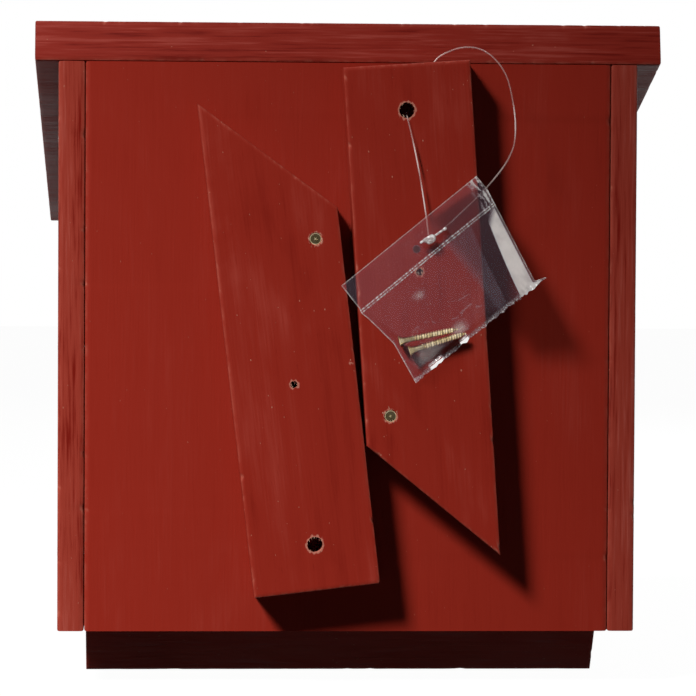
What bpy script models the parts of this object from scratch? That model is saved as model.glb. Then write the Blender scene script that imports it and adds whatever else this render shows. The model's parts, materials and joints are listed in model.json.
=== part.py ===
"""Lacewing house: a louvred wooden box filled with straw, with two mounting battens folded on its back.

Metres, +Z up. The back, with the battens, faces -Y and the louvred front faces +Y. The origin is under the middle of
the house, on the surface that the floor slats stand on.
"""
import math

import bmesh
import bpy
import numpy as np
from mathutils import Matrix, Vector

# Clearances
touch_gap = 0.0003
cut_overrun = 0.002
weld_gap = 1e-6

# Sides of round pieces and holes, and the edges that are shaded sharp or rounded
round_sides = 16
nail_sides = 10
batten_hole_sides = 20
shade_angle = math.radians(35.0)
round_angle = math.radians(30.0)

# House body
body_width = 0.296
body_depth = 0.300
side_height_back = 0.2912
floor_slat_drop = 0.028
board_thickness = 0.0135
board_round = 0.0008

# Roof
roof_side_overhang = 0.012
roof_front_overhang = 0.030
roof_thickness = 0.021
roof_slope = math.radians(14.0)
roof_round = 0.0012

# Louvre slats
slat_thickness = 0.010
slat_slope = math.radians(50.0)
slat_round = 0.0006
floor_slat_count = 5
floor_slat_width = 0.060
floor_slat_first = 0.070
floor_slat_last = 0.022
floor_nail_up = 0.048
front_slat_count = 4
front_slat_width = 0.050
front_slat_inset = 0.001
front_slat_lift = 0.003
front_nail_up = 0.025

# Straw
straw_ease = 0.0006

# Mounting battens, which lie folded beside each other
batten_width = 0.0645
batten_length = 0.252
batten_bevel_drop = 0.060
batten_thickness = 0.020
batten_round = 0.0008
batten_mid_height = 0.1844
batten_mid_aside = 0.0015
batten_fold_gap_left = 0.0009
batten_fold_gap_right = 0.0054
pivot_from_edge = 0.013
pivot_from_bevel = 0.0145
bevel_gap = 0.0005
hang_hole_bore = 0.008
hang_hole_from_pivot = 0.154
hang_hole_inwards = 0.0014
lock_hole_bore = 0.0036
lock_hole_from_pivot = 0.072

# Countersunk screws of the battens and the two spare ones
screw_head = 0.0060
screw_head_depth = 0.0020
screw_shank = 0.0030
screw_length = 0.030
screw_tip = 0.0030
screw_sink = 0.0004
screw_recess = 0.0012
screw_recess_width = 0.0026
screw_recess_arm = 0.0008

# Roof screws
roof_screw_head = 0.0072
roof_screw_head_depth = 0.0024
roof_screw_shank = 0.0035
roof_screw_length = 0.045
roof_screw_from_back = 0.055
roof_screw_spacing = 0.190

# Nails
nail_shank = 0.0020
nail_head = 0.0042
nail_head_thickness = 0.0009
nail_length = 0.035
back_nail_count = 3
back_nail_margin = 0.040

# Nylon loop with its lock, and the bag of spare screws
loop_diameter = 0.0008
loop_point_count = 80
loop_span_steps = 24
lock_length = 0.0052
lock_width = 0.0030
lock_thickness = 0.0026
lock_round = 0.0005
bag_width = 0.088
bag_height = 0.062
bag_film = 0.00025
bag_thickness = 0.0012
bag_lean = math.radians(39.4)
bag_top_left = (-0.0048, 0.2056)
bag_hole = 0.005
bag_hole_along = 0.0589
bag_hole_down = 0.01035
bag_side_rise = 0.0026
bag_full_width = 0.0360
bag_side_fall = 0.0160
bag_belly_top = 0.0200
bag_belly_rise = 0.0150
bag_seam_rise = 0.0030
bag_curl_start = 0.064
bag_curl = 0.0045
bag_columns = 18
bag_rows = 14
# Place of each spare screw's head in the bag, across and down, and how far the screw dips from the bag's top edge
spare_head_shares = {"spare_screw_1": (0.070, 0.632), "spare_screw_2": (0.080, 0.747)}
spare_dips = {"spare_screw_1": math.radians(27.0), "spare_screw_2": math.radians(21.5)}

# Places that follow from the sizes above, with the back of the house at back_y
roof_width = body_width + 2 * roof_side_overhang
roof_reach = body_depth + roof_front_overhang
floor_slat_pitch = (body_depth - floor_slat_first - floor_slat_last) / (floor_slat_count - 1)
batten_gap_left = touch_gap
batten_gap_right = loop_diameter + 2 * touch_gap
batten_stack = batten_gap_right + batten_thickness
roof_front_corner = roof_reach + (roof_thickness - roof_round) * math.sin(roof_slope)
back_y = (batten_stack - roof_front_corner) / 2
side_bottom = floor_slat_drop
side_top_back = side_bottom + side_height_back
inner_half = body_width / 2 - board_thickness
slat_half_length = inner_half - touch_gap
slat_down = Vector((0.0, math.cos(slat_slope), -math.sin(slat_slope)))
slat_up_face = Vector((0.0, math.sin(slat_slope), math.cos(slat_slope)))
pivot_half_spacing = batten_width / 2 - pivot_from_edge
bevel_angle = math.atan2(batten_bevel_drop, batten_width)
pivot_rise = (batten_bevel_drop + bevel_gap / math.cos(bevel_angle)) / 2 + pivot_from_bevel


def fold_lean(gap, other_lean):
    """The lean at which a batten's inner edge passes the inner corner of the other one's slanting end at that gap."""
    run = 2 * pivot_half_spacing - pivot_from_edge * math.cos(other_lean) - pivot_from_bevel * math.sin(other_lean)
    drop = 2 * pivot_rise - pivot_from_edge * math.sin(other_lean) + pivot_from_bevel * math.cos(other_lean)
    return math.atan2(drop, run) - math.acos((pivot_from_edge + gap) / math.hypot(run, drop))


batten_lean_right = fold_lean(batten_fold_gap_right, 0.0)
batten_lean_left = fold_lean(batten_fold_gap_left, batten_lean_right)

# The loop's own route, from its lock up to the hanging hole, through it and round again: across, out from the back
# of the house, and up
LOOP_ROUTE = [
    (0.0390, -0.0257, 0.2314), (0.03866, -0.0257, 0.23459), (0.03662, -0.0252, 0.2493), (0.03288, -0.0242, 0.27051),
    (0.02974, -0.0232, 0.2846), (0.02884, -0.0229, 0.2881), (0.02844, -0.0227, 0.2898), (0.02814, -0.0221, 0.2911),
    (0.02804, -0.0209, 0.2917), (0.02804, -0.0190, 0.2917), (0.02804, -0.0070, 0.2915), (0.02804, -0.0025, 0.2915),
    (0.02814, -0.0016, 0.2917), (0.02844, -0.00094, 0.2923), (0.02894, -0.0007, 0.2931), (0.03104, -0.0007, 0.2971),
    (0.03984, -0.0007, 0.3134), (0.04264, -0.0008, 0.3184), (0.0444, -0.0016, 0.32097), (0.04728, -0.0046, 0.32331),
    (0.05171, -0.0090, 0.32531), (0.05592, -0.0135, 0.3265), (0.06233, -0.0185, 0.32639), (0.06826, -0.0222, 0.32389),
    (0.07414, -0.0248, 0.31823), (0.0780, -0.0260, 0.3117), (0.0806, -0.0266, 0.3024), (0.0826, -0.0266, 0.2890),
    (0.0822, -0.0260, 0.2780), (0.0800, -0.0252, 0.2715), (0.0765, -0.0242, 0.2655), (0.0680, -0.0224, 0.2549),
    (0.0620, -0.02215, 0.2488), (0.0510, -0.02215, 0.2383), (0.0490, -0.0224, 0.2365), (0.0478, -0.0231, 0.2355),
    (0.0459, -0.0248, 0.2339), (0.0446, -0.0254, 0.2329), (0.0434, -0.0257, 0.2321), (0.04236, -0.0257, 0.23148),
]
lock_centre = (0.0400, -0.0257, 0.2298)
lock_lean = math.radians(35.5)

parts = bpy.data.collections.new("lacewing_house")
cutters = bpy.data.collections.new("cutters")


def clear_scene():
    """Removes every object of the open file."""
    for obj in list(bpy.data.objects):
        bpy.data.objects.remove(obj, do_unlink=True)
    bpy.context.scene.collection.children.link(parts)
    bpy.context.scene.collection.children.link(cutters)


def material(name, colour, roughness, metallic=0.0):
    """One Principled material; colour is linear."""
    mat = bpy.data.materials.new(name)
    mat.use_nodes = True
    shader = mat.node_tree.nodes["Principled BSDF"]
    shader.inputs["Base Color"].default_value = (*colour, 1.0)
    shader.inputs["Roughness"].default_value = roughness
    shader.inputs["Metallic"].default_value = metallic
    mat.diffuse_color = (*colour, 1.0)
    return mat


COLOURS = {
    "stained_board": ((0.242, 0.017, 0.010), 0.62, 0.0),
    "stained_batten": ((0.232, 0.019, 0.012), 0.58, 0.0),
    "roof_stain": ((0.160, 0.014, 0.008), 0.60, 0.0),
    "slat_stain": ((0.060, 0.006, 0.004), 0.70, 0.0),
    "straw": ((0.560, 0.400, 0.150), 0.75, 0.0),
    "yellow_zinc": ((0.560, 0.400, 0.160), 0.32, 1.0),
    "nail_steel": ((0.420, 0.410, 0.400), 0.40, 1.0),
    "clear_nylon": ((0.800, 0.800, 0.780), 0.25, 0.0),
    "bag_film": ((0.760, 0.760, 0.770), 0.15, 0.0),
}


def finish(obj, look):
    """Gives the piece its own material and shades it by its edges."""
    colour, roughness, metallic = COLOURS[look]
    obj.data.materials.clear()
    obj.data.materials.append(material(obj.name + "_" + look, colour, roughness, metallic))
    if obj.type == "MESH":
        obj.data.shade_smooth()
        obj.data.set_sharp_from_angle(angle=shade_angle)
    return obj


def add_mesh(name, bm, where=None):
    """Makes an object of a bmesh in the parts, or in the cutters."""
    bmesh.ops.recalc_face_normals(bm, faces=bm.faces)
    mesh = bpy.data.meshes.new(name)
    bm.to_mesh(mesh)
    bm.free()
    obj = bpy.data.objects.new(name, mesh)
    (where or parts).objects.link(obj)
    return obj


def curve_to_mesh(curve_obj, collection):
    """Replaces a filled curve with its welded mesh."""
    graph = bpy.context.evaluated_depsgraph_get()
    mesh = bpy.data.meshes.new_from_object(curve_obj.evaluated_get(graph))
    bm = bmesh.new()
    bm.from_mesh(mesh)
    bmesh.ops.remove_doubles(bm, verts=bm.verts, dist=weld_gap)
    bmesh.ops.recalc_face_normals(bm, faces=bm.faces)
    bm.to_mesh(mesh)
    bm.free()
    name = curve_obj.name
    place = curve_obj.matrix_world.copy()
    bpy.data.objects.remove(curve_obj, do_unlink=True)
    obj = bpy.data.objects.new(name, mesh)
    obj.matrix_world = place
    collection.objects.link(obj)
    return obj


def plate(name, outline, thickness, place):
    """A flat board: a closed outline in its own XY plane, thickness along its Z, set down by place."""
    curve = bpy.data.curves.new(name, "CURVE")
    curve.dimensions = "2D"
    curve.fill_mode = "BOTH"
    curve.extrude = thickness / 2
    spline = curve.splines.new("POLY")
    spline.points.add(len(outline) - 1)
    for point, (x, y) in zip(spline.points, outline):
        point.co = (x, y, 0.0, 1.0)
    spline.use_cyclic_u = True
    obj = bpy.data.objects.new(name, curve)
    obj.matrix_world = place
    parts.objects.link(obj)
    bpy.context.view_layer.update()
    return curve_to_mesh(obj, parts)


def axes(origin, x_axis, y_axis):
    """A place whose local X and Y axes run along the two given directions."""
    x_dir = Vector(x_axis).normalized()
    y_dir = Vector(y_axis).normalized()
    z_dir = x_dir.cross(y_dir)
    place = Matrix((x_dir, y_dir, z_dir)).transposed().to_4x4()
    place.translation = Vector(origin)
    return place


def along(origin, direction):
    """A place whose local Z axis runs along the direction."""
    turn = Vector(direction).to_track_quat("Z", "Y").to_matrix().to_4x4()
    turn.translation = Vector(origin)
    return turn


def soften(obj, width, segments=1):
    """Rounds the long edges of a sawn board."""
    bevel = obj.modifiers.new("rounded_edges", "BEVEL")
    bevel.width = width
    bevel.segments = segments
    bevel.limit_method = "ANGLE"
    bevel.angle_limit = round_angle
    return obj


def cylinder_cutter(name, place, radius, low, high, sides=round_sides, mouth=None):
    """A round cutter along the place's Z from low to high; mouth widens its upper end to that radius and depth."""
    bm = bmesh.new()
    rings = [(radius, low), (radius, high)]
    if mouth:
        wide, depth = mouth
        rings = [(radius, low), (radius, high - depth), (wide, high), (wide, high + cut_overrun)]
    loops = []
    for ring_radius, height in rings:
        steps = [2 * math.pi * k / sides for k in range(sides)]
        loops.append([bm.verts.new((ring_radius * math.cos(a), ring_radius * math.sin(a), height)) for a in steps])
    for lower, upper in zip(loops, loops[1:]):
        for k in range(sides):
            bm.faces.new((lower[k], lower[(k + 1) % sides], upper[(k + 1) % sides], upper[k]))
    bm.faces.new(list(reversed(loops[0])))
    bm.faces.new(loops[-1])
    bm.transform(place)
    obj = add_mesh(name, bm, cutters)
    obj.hide_render = True
    obj.display_type = "WIRE"
    return obj


def cut(obj, cutter):
    """Cuts one shape out of a piece."""
    boolean = obj.modifiers.new("cut_" + cutter.name, "BOOLEAN")
    boolean.operation = "DIFFERENCE"
    boolean.solver = "EXACT"
    boolean.object = cutter
    return obj


def turned(name, profile, place, sides=round_sides):
    """A turned solid about its Z axis; the profile holds radius and height, from the top to the bottom."""
    mesh = bpy.data.meshes.new(name)
    verts = [(radius, 0.0, height) for radius, height in profile]
    mesh.from_pydata(verts, [(k, k + 1) for k in range(len(verts) - 1)], [])
    obj = bpy.data.objects.new(name, mesh)
    obj.matrix_world = place
    parts.objects.link(obj)
    screw = obj.modifiers.new("turned", "SCREW")
    screw.axis = "Z"
    screw.steps = sides
    screw.render_steps = sides
    screw.use_merge_vertices = True
    screw.merge_threshold = weld_gap
    screw.use_normal_flip = False
    return obj


def roof_underside(depth):
    """Height of the roof's underside at a depth in front of the back."""
    return side_top_back - depth * math.tan(roof_slope)


def slat_corner(depth, height):
    """The lower end corner of a slat's underside."""
    return Vector((0.0, back_y + depth, height))


def slat(name, corner, width):
    """One louvre slat between the side boards, sloping down towards the front."""
    centre = corner - slat_down * (width / 2) + slat_up_face * (slat_thickness / 2)
    half = slat_half_length
    outline = [(-half, -width / 2), (half, -width / 2), (half, width / 2), (-half, width / 2)]
    obj = plate(name, outline, slat_thickness, axes(centre, (1, 0, 0), -slat_down))
    return soften(obj, slat_round)


def nail(name, head_point, direction):
    """A round wire nail whose head lies just off head_point, driven along direction."""
    shank = nail_shank / 2
    head = nail_head / 2
    top = touch_gap + nail_head_thickness
    end = top - nail_length
    profile = [(0.0, top), (head, top), (head, touch_gap), (shank, touch_gap), (shank, end + nail_shank), (0.0, end)]
    return turned(name, profile, along(head_point, -Vector(direction)), sides=nail_sides)


def nail_bore(name, head_point, direction):
    """The cutter of a nail's hole, from outside the side board to past the nail's point."""
    place = along(head_point, -Vector(direction))
    low = -nail_length - touch_gap
    return cylinder_cutter(name, place, nail_shank / 2 + touch_gap, low, cut_overrun, sides=nail_sides)


def make_side_board(name, side):
    """A side board with its sloping top; side is -1 on the left and 1 on the right, seen from the back."""
    outline = [
        (0.0, side_bottom),
        (body_depth, side_bottom),
        (body_depth, roof_underside(body_depth) - touch_gap / math.cos(roof_slope)),
        (0.0, side_top_back - touch_gap / math.cos(roof_slope)),
    ]
    centre = (side * (body_width / 2 - board_thickness / 2), back_y, 0.0)
    return soften(plate(name, outline, board_thickness, axes(centre, (0, 1, 0), (0, 0, 1))), board_round)


def make_back_panel():
    """The back board between the side boards, its top edge sawn to the roof's slope."""
    seat = touch_gap / math.cos(roof_slope)
    outline = [
        (0.0, side_bottom),
        (board_thickness, side_bottom),
        (board_thickness, roof_underside(board_thickness) - seat),
        (0.0, roof_underside(0.0) - seat),
    ]
    place = axes((0.0, back_y, 0.0), (0, 1, 0), (0, 0, 1))
    return soften(plate("back_panel", outline, 2 * (inner_half - touch_gap), place), board_round)


def make_roof():
    """The roof board, its back edge level with the back of the house at its lower corner."""
    length = roof_reach / math.cos(roof_slope)
    outline = [(-roof_width / 2, 0.0), (roof_width / 2, 0.0), (roof_width / 2, length), (-roof_width / 2, length)]
    up = Vector((0.0, math.sin(roof_slope), math.cos(roof_slope)))
    centre = Vector((0.0, back_y, side_top_back)) + up * (roof_thickness / 2)
    run = (0.0, math.cos(roof_slope), -math.sin(roof_slope))
    return soften(plate("roof_board", outline, roof_thickness, axes(centre, (1, 0, 0), run)), roof_round)


def front_slat_places():
    """Lower corners of the front slats, spread evenly from the sides' foot to the roof."""
    out = front_slat_inset + slat_thickness * math.sin(slat_slope)
    first = side_bottom + front_slat_lift
    pitch = (roof_underside(body_depth) - first) / front_slat_count
    return [slat_corner(body_depth - out, first + k * pitch) for k in range(front_slat_count)]


def floor_slat_places():
    """Lower corners of the floor slats, from the back to the front; their rounded edges touch the ground."""
    height = -slat_round * math.cos(slat_slope)
    return [slat_corner(floor_slat_first + k * floor_slat_pitch, height) for k in range(floor_slat_count)]


def make_slats(side_boards):
    """All louvre slats, each held by one nail at each end."""
    rows = [("floor_slat", floor_slat_places(), floor_slat_width, floor_nail_up)]
    rows.append(("front_slat", front_slat_places(), front_slat_width, front_nail_up))
    for label, places, width, nail_up in rows:
        for number, corner in enumerate(places, 1):
            piece = slat(f"{label}_{number}", corner, width)
            spot = corner - slat_down * nail_up + slat_up_face * (slat_thickness / 2)
            for side, end in ((-1, "left"), (1, "right")):
                head = Vector((side * body_width / 2, spot.y, spot.z))
                bore = nail_bore(f"{label}_{number}_bore_{end}", head, (-side, 0, 0))
                cut(piece, bore)
                cut(side_boards[side], bore)
                finish(nail(f"nail_{label}_{number}_{end}", head, (-side, 0, 0)), "nail_steel")
            finish(piece, "slat_stain")


def make_back_nails(back_panel, side_boards):
    """Nails through the side boards into the edges of the back panel."""
    low = side_bottom + back_nail_margin
    high = roof_underside(0.0) - back_nail_margin
    for number in range(back_nail_count):
        height = low + (high - low) * number / (back_nail_count - 1)
        for side, end in ((-1, "left"), (1, "right")):
            head = Vector((side * body_width / 2, back_y + board_thickness / 2, height))
            bore = nail_bore(f"back_bore_{number + 1}_{end}", head, (-side, 0, 0))
            cut(back_panel, bore)
            cut(side_boards[side], bore)
            finish(nail(f"nail_back_{number + 1}_{end}", head, (-side, 0, 0)), "nail_steel")


def screw_profile(head, head_depth, shank, length):
    """Half outline of a countersunk screw, its flat head top at zero."""
    return [
        (0.0, 0.0),
        (head / 2, 0.0),
        (shank / 2, -head_depth),
        (shank / 2, -length + screw_tip),
        (0.0, -length),
    ]


def countersunk_screw(name, place, head, head_depth, shank, length):
    """A countersunk screw along the place's -Z, with its cross recess."""
    obj = turned(name, screw_profile(head, head_depth, shank, length), place)
    for number, (wide, deep) in enumerate(((screw_recess_width, screw_recess_arm), (screw_recess_arm, screw_recess_width))):
        bm = bmesh.new()
        bmesh.ops.create_cube(bm, size=1.0)
        bm.transform(Matrix.Diagonal((wide, deep, 2 * screw_recess, 1.0)))
        bm.transform(place)
        arm = add_mesh(f"{name}_recess_{number + 1}", bm, cutters)
        arm.hide_render = True
        arm.display_type = "WIRE"
        cut(obj, arm)
    return finish(obj, "yellow_zinc")


def make_roof_screws(roof, side_boards):
    """Two screws through the roof into the top of each side board, square to the roof."""
    up = Vector((0.0, math.sin(roof_slope), math.cos(roof_slope)))
    run = Vector((0.0, math.cos(roof_slope), -math.sin(roof_slope)))
    top = Vector((0.0, back_y, side_top_back)) + up * roof_thickness
    number = 0
    for side in (-1, 1):
        for step in range(2):
            number += 1
            point = top + run * (roof_screw_from_back + step * roof_screw_spacing)
            point.x = side * (body_width / 2 - board_thickness / 2)
            place = along(point - up * screw_sink, up)
            depth = -roof_screw_length - touch_gap
            mouth = (roof_screw_head / 2 + touch_gap, roof_screw_head_depth)
            bore = cylinder_cutter(
                f"roof_bore_{number}", place, roof_screw_shank / 2 + touch_gap, depth, 0.0, mouth=mouth
            )
            cut(roof, bore)
            cut(side_boards[side], bore)
            countersunk_screw(
                f"roof_screw_{number}", place, roof_screw_head, roof_screw_head_depth, roof_screw_shank,
                roof_screw_length,
            )


def make_straw():
    """The straw as one closed block: on the floor slats, behind the front slats and under the roof."""
    floor_top = (slat_up_face * slat_thickness - slat_down * floor_slat_width).z + straw_ease
    out = front_slat_inset + slat_thickness * math.sin(slat_slope)
    front = body_depth - out - front_slat_width * math.cos(slat_slope) - straw_ease
    back = board_thickness + straw_ease
    seat = straw_ease / math.cos(roof_slope)
    outline = [
        (back, floor_top),
        (front, floor_top),
        (front, roof_underside(front) - seat),
        (back, roof_underside(back) - seat),
    ]
    place = axes((0.0, back_y, 0.0), (0, 1, 0), (0, 0, 1))
    return finish(plate("straw_fill", outline, 2 * (inner_half - straw_ease), place), "straw")


def batten_frame(pivot, lean, flip, gap):
    """Place of a batten: local X towards its inner edge, local Y towards its slanting end, Z out of its face."""
    upright = Vector((math.sin(lean), 0.0, math.cos(lean)))
    across = Vector((math.cos(lean), 0.0, -math.sin(lean)))
    origin = Vector((pivot[0], back_y - gap - batten_thickness / 2, pivot[1]))
    return axes(origin, across * flip, upright * flip)


def make_batten(side_name, pivot, lean, flip, gap):
    """A mounting batten, turning about the screw near its slanting end."""
    inner = pivot_from_edge
    outer = pivot_from_edge - batten_width
    tip = pivot_from_bevel + batten_bevel_drop
    tail = tip - batten_length
    outline = [(inner, tail), (inner, pivot_from_bevel), (outer, tip), (outer, tail)]
    place = batten_frame(pivot, lean, flip, gap)
    obj = soften(plate(f"mounting_batten_{side_name}", outline, batten_thickness, place), batten_round)
    half = batten_thickness / 2
    middle = pivot_from_edge - batten_width / 2
    holes = [
        ("hang", middle + hang_hole_inwards, -hang_hole_from_pivot, hang_hole_bore / 2, None),
        ("lock", middle, -lock_hole_from_pivot, lock_hole_bore / 2, None),
    ]
    mouth = (screw_head / 2 + touch_gap, screw_head_depth)
    holes.append(("pivot", 0.0, 0.0, screw_shank / 2 + touch_gap, mouth))
    for label, x, y, radius, widened in holes:
        hole_place = place @ Matrix.Translation((x, y, 0.0))
        high = half + cut_overrun if widened is None else half - screw_sink
        cut(obj, cylinder_cutter(
            f"{label}_hole_{side_name}", hole_place, radius, -half - cut_overrun, high, sides=batten_hole_sides, mouth=widened
        ))
    screw_place = place @ Matrix.Translation((0.0, 0.0, half - screw_sink))
    countersunk_screw(
        f"batten_screw_{side_name}", screw_place, screw_head, screw_head_depth, screw_shank, screw_length
    )
    return finish(obj, "stained_batten"), screw_place


def make_battens(back_panel):
    """Both battens, their screws, and the screws' holes in the back panel."""
    rows = [
        ("left", -pivot_half_spacing, pivot_rise, batten_lean_left, 1, batten_gap_left),
        ("right", pivot_half_spacing, -pivot_rise, batten_lean_right, -1, batten_gap_right),
    ]
    for side_name, x, rise, lean, flip, gap in rows:
        pivot = (batten_mid_aside + x, batten_mid_height + rise)
        _, screw_place = make_batten(side_name, pivot, lean, flip, gap)
        bore = cylinder_cutter(
            f"panel_bore_{side_name}", screw_place, screw_shank / 2 + touch_gap, -screw_length - touch_gap, 0.0
        )
        cut(back_panel, bore)


def smooth_route(points, count):
    """Evenly spaced points on the smooth curve through the route's own points."""
    nodes = [Vector(p) for p in points]
    nodes = [nodes[0] * 2 - nodes[1]] + nodes + [nodes[-1] * 2 - nodes[-2]]
    fine = []
    for a, b, c, d in zip(nodes, nodes[1:], nodes[2:], nodes[3:]):
        ta = 0.0
        tb = ta + math.sqrt((b - a).length)
        tc = tb + math.sqrt((c - b).length)
        td = tc + math.sqrt((d - c).length)
        for k in range(loop_span_steps):
            t = tb + (tc - tb) * k / loop_span_steps
            ab = a * ((tb - t) / (tb - ta)) + b * ((t - ta) / (tb - ta))
            bc = b * ((tc - t) / (tc - tb)) + c * ((t - tb) / (tc - tb))
            cd = c * ((td - t) / (td - tc)) + d * ((t - tc) / (td - tc))
            abc = ab * ((tc - t) / (tc - ta)) + bc * ((t - ta) / (tc - ta))
            bcd = bc * ((td - t) / (td - tb)) + cd * ((t - tb) / (td - tb))
            fine.append(abc * ((tc - t) / (tc - tb)) + bcd * ((t - tb) / (tc - tb)))
    fine.append(nodes[-2])
    steps = [0.0]
    for a, b in zip(fine, fine[1:]):
        steps.append(steps[-1] + (b - a).length)
    table = np.array([tuple(p) for p in fine])
    places = np.linspace(0.0, steps[-1], count)
    return np.column_stack([np.interp(places, steps, table[:, k]) for k in range(3)]), steps[-1]


def make_loop():
    """The nylon loop from its lock through the hanging hole and back to the lock."""
    points, length = smooth_route([(x, back_y + y, z) for x, y, z in LOOP_ROUTE], loop_point_count)
    curve = bpy.data.curves.new("tag_loop", "CURVE")
    curve.dimensions = "3D"
    curve.bevel_depth = loop_diameter / 2
    curve.bevel_resolution = 2
    curve.use_fill_caps = True
    spline = curve.splines.new("POLY")
    spline.points.add(len(points) - 1)
    for point, co in zip(spline.points, points):
        point.co = (*co, 1.0)
    obj = bpy.data.objects.new("tag_loop", curve)
    parts.objects.link(obj)
    finish(obj, "clear_nylon")
    print(f"tag loop: {length * 1000:.1f} mm long")


def make_lock():
    """The small moulded lock that closes the loop."""
    bm = bmesh.new()
    bmesh.ops.create_cube(bm, size=1.0)
    bm.transform(Matrix.Diagonal((lock_length, lock_thickness, lock_width, 1.0)))
    obj = add_mesh("tag_lock", bm)
    x, y, z = lock_centre
    obj.matrix_world = Matrix.Translation((x, back_y + y, z)) @ Matrix.Rotation(-lock_lean, 4, "Y")
    soften(obj, lock_round, 2)
    finish(obj, "clear_nylon")


def smooth_step(value):
    """Rises smoothly from 0 to 1."""
    t = min(1.0, max(0.0, value))
    return t * t * (3.0 - 2.0 * t)


def bag_place():
    """Place of the bag: local X along its top edge, local Y up from it, local Z out of its front."""
    top = (math.cos(bag_lean), 0.0, math.sin(bag_lean))
    up = (-math.sin(bag_lean), 0.0, math.cos(bag_lean))
    behind = batten_stack + loop_diameter + 2 * touch_gap
    x, z = bag_top_left
    return axes((x, back_y - behind, z), top, up)


def bag_rise(x, y):
    """How far the bag's front stands off its back: flat but for the belly over the spare screws."""
    belly = screw_head + 2 * touch_gap + 2 * bag_film - bag_thickness
    across = smooth_step(x / bag_side_rise) * smooth_step((bag_full_width + bag_side_fall - x) / bag_side_fall)
    down = smooth_step((y - bag_belly_top) / bag_belly_rise) * smooth_step((bag_height - y) / bag_seam_rise)
    return bag_thickness + belly * across * down


def make_bag():
    """A grip-seal bag: a thin pouch, open at its top edge, with a round hole in its header for the loop."""
    bm = bmesh.new()
    # Columns lie closer together at both side seams
    xs = [bag_width * (1.0 - math.cos(math.pi * k / bag_columns)) / 2 for k in range(bag_columns + 1)]
    rings = []
    for row in range(bag_rows + 1):
        y = bag_height * math.sin(math.pi / 2 * row / bag_rows)
        front = []
        back = []
        for x in xs:
            curl = bag_curl * smooth_step((x - bag_curl_start) / (bag_width - bag_curl_start))
            back.append(bm.verts.new((x, -y, curl)))
            front.append(bm.verts.new((x, -y, curl + bag_rise(x, y))))
        rings.append(back + list(reversed(front)))
    size = len(rings[0])
    for upper, lower in zip(rings, rings[1:]):
        for k in range(size):
            bm.faces.new((upper[k], upper[(k + 1) % size], lower[(k + 1) % size], lower[k]))
    columns = len(xs)
    for k in range(columns - 1):
        bm.faces.new((rings[-1][k], rings[-1][k + 1], rings[-1][size - 2 - k], rings[-1][size - 1 - k]))
    place = bag_place()
    obj = add_mesh("screw_bag", bm)
    obj.matrix_world = place
    solidify = obj.modifiers.new("film", "SOLIDIFY")
    solidify.thickness = bag_film
    solidify.offset = -1.0
    solidify.use_even_offset = True
    hole_place = place @ Matrix.Translation((bag_hole_along, -bag_hole_down, 0.0))
    reach = bag_thickness + cut_overrun
    cut(obj, cylinder_cutter("bag_hole", hole_place, bag_hole / 2, -cut_overrun, reach))
    return finish(obj, "bag_film")


def make_spare_screws():
    """The two screws in the bag, one for the small hole of each batten."""
    place = bag_place()
    middle = bag_film + touch_gap + screw_head / 2
    for name, (across_share, down_share) in spare_head_shares.items():
        dip = spare_dips[name]
        head = place @ Vector((across_share * bag_width, -down_share * bag_height, middle))
        run = place.to_3x3() @ Vector((math.cos(dip), -math.sin(dip), 0.0))
        countersunk_screw(name, along(head, -run), screw_head, screw_head_depth, screw_shank, screw_length)


def main():
    """Builds the whole house."""
    clear_scene()
    side_boards = {-1: make_side_board("side_board_left", -1), 1: make_side_board("side_board_right", 1)}
    back_panel = make_back_panel()
    roof = make_roof()
    make_roof_screws(roof, side_boards)
    make_slats(side_boards)
    make_back_nails(back_panel, side_boards)
    make_battens(back_panel)
    for board in (*side_boards.values(), back_panel):
        finish(board, "stained_board")
    finish(roof, "roof_stain")
    make_straw()
    make_loop()
    make_lock()
    make_bag()
    make_spare_screws()


main()
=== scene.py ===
"""Dresses the lacewing house: stained boards, straw, screws, and the bag of spare screws on its nylon loop.

All sizes are in metres, in the house's own frame: +Z up, the back with the mounting battens towards -Y.
"""
import functools
import json
import math
import bmesh
import bpy
import numpy as np
from mathutils import Matrix, Vector, noise

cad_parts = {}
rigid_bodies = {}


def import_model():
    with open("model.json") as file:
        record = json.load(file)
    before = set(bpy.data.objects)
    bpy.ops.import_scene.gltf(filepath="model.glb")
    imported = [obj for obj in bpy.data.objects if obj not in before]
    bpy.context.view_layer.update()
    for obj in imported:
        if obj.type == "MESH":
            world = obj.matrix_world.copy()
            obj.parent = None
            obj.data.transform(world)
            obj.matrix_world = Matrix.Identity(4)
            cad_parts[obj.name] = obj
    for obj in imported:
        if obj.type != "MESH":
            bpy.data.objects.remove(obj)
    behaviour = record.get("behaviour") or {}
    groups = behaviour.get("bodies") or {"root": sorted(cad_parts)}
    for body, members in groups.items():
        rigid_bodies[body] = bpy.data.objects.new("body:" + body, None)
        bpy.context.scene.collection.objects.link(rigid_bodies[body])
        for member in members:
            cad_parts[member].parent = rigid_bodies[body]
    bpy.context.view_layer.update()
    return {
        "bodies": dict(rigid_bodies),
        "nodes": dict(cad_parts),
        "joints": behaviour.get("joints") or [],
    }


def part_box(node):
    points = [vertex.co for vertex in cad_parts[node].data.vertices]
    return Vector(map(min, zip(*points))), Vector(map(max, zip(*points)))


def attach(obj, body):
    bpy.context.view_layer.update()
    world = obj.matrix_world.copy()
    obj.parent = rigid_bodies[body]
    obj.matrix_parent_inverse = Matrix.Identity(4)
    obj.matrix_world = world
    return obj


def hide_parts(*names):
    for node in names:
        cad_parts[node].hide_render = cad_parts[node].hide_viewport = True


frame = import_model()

bl_info = {
    "name": "Lacewing House",
    "version": (1, 0, 0),
    "blender": (4, 5, 0),
    "location": "View3D > Sidebar > Lacewing House",
    "description": "Stained wooden insect house with straw, mounting battens and a bag of spare screws",
    "category": "Add Mesh",
}

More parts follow.
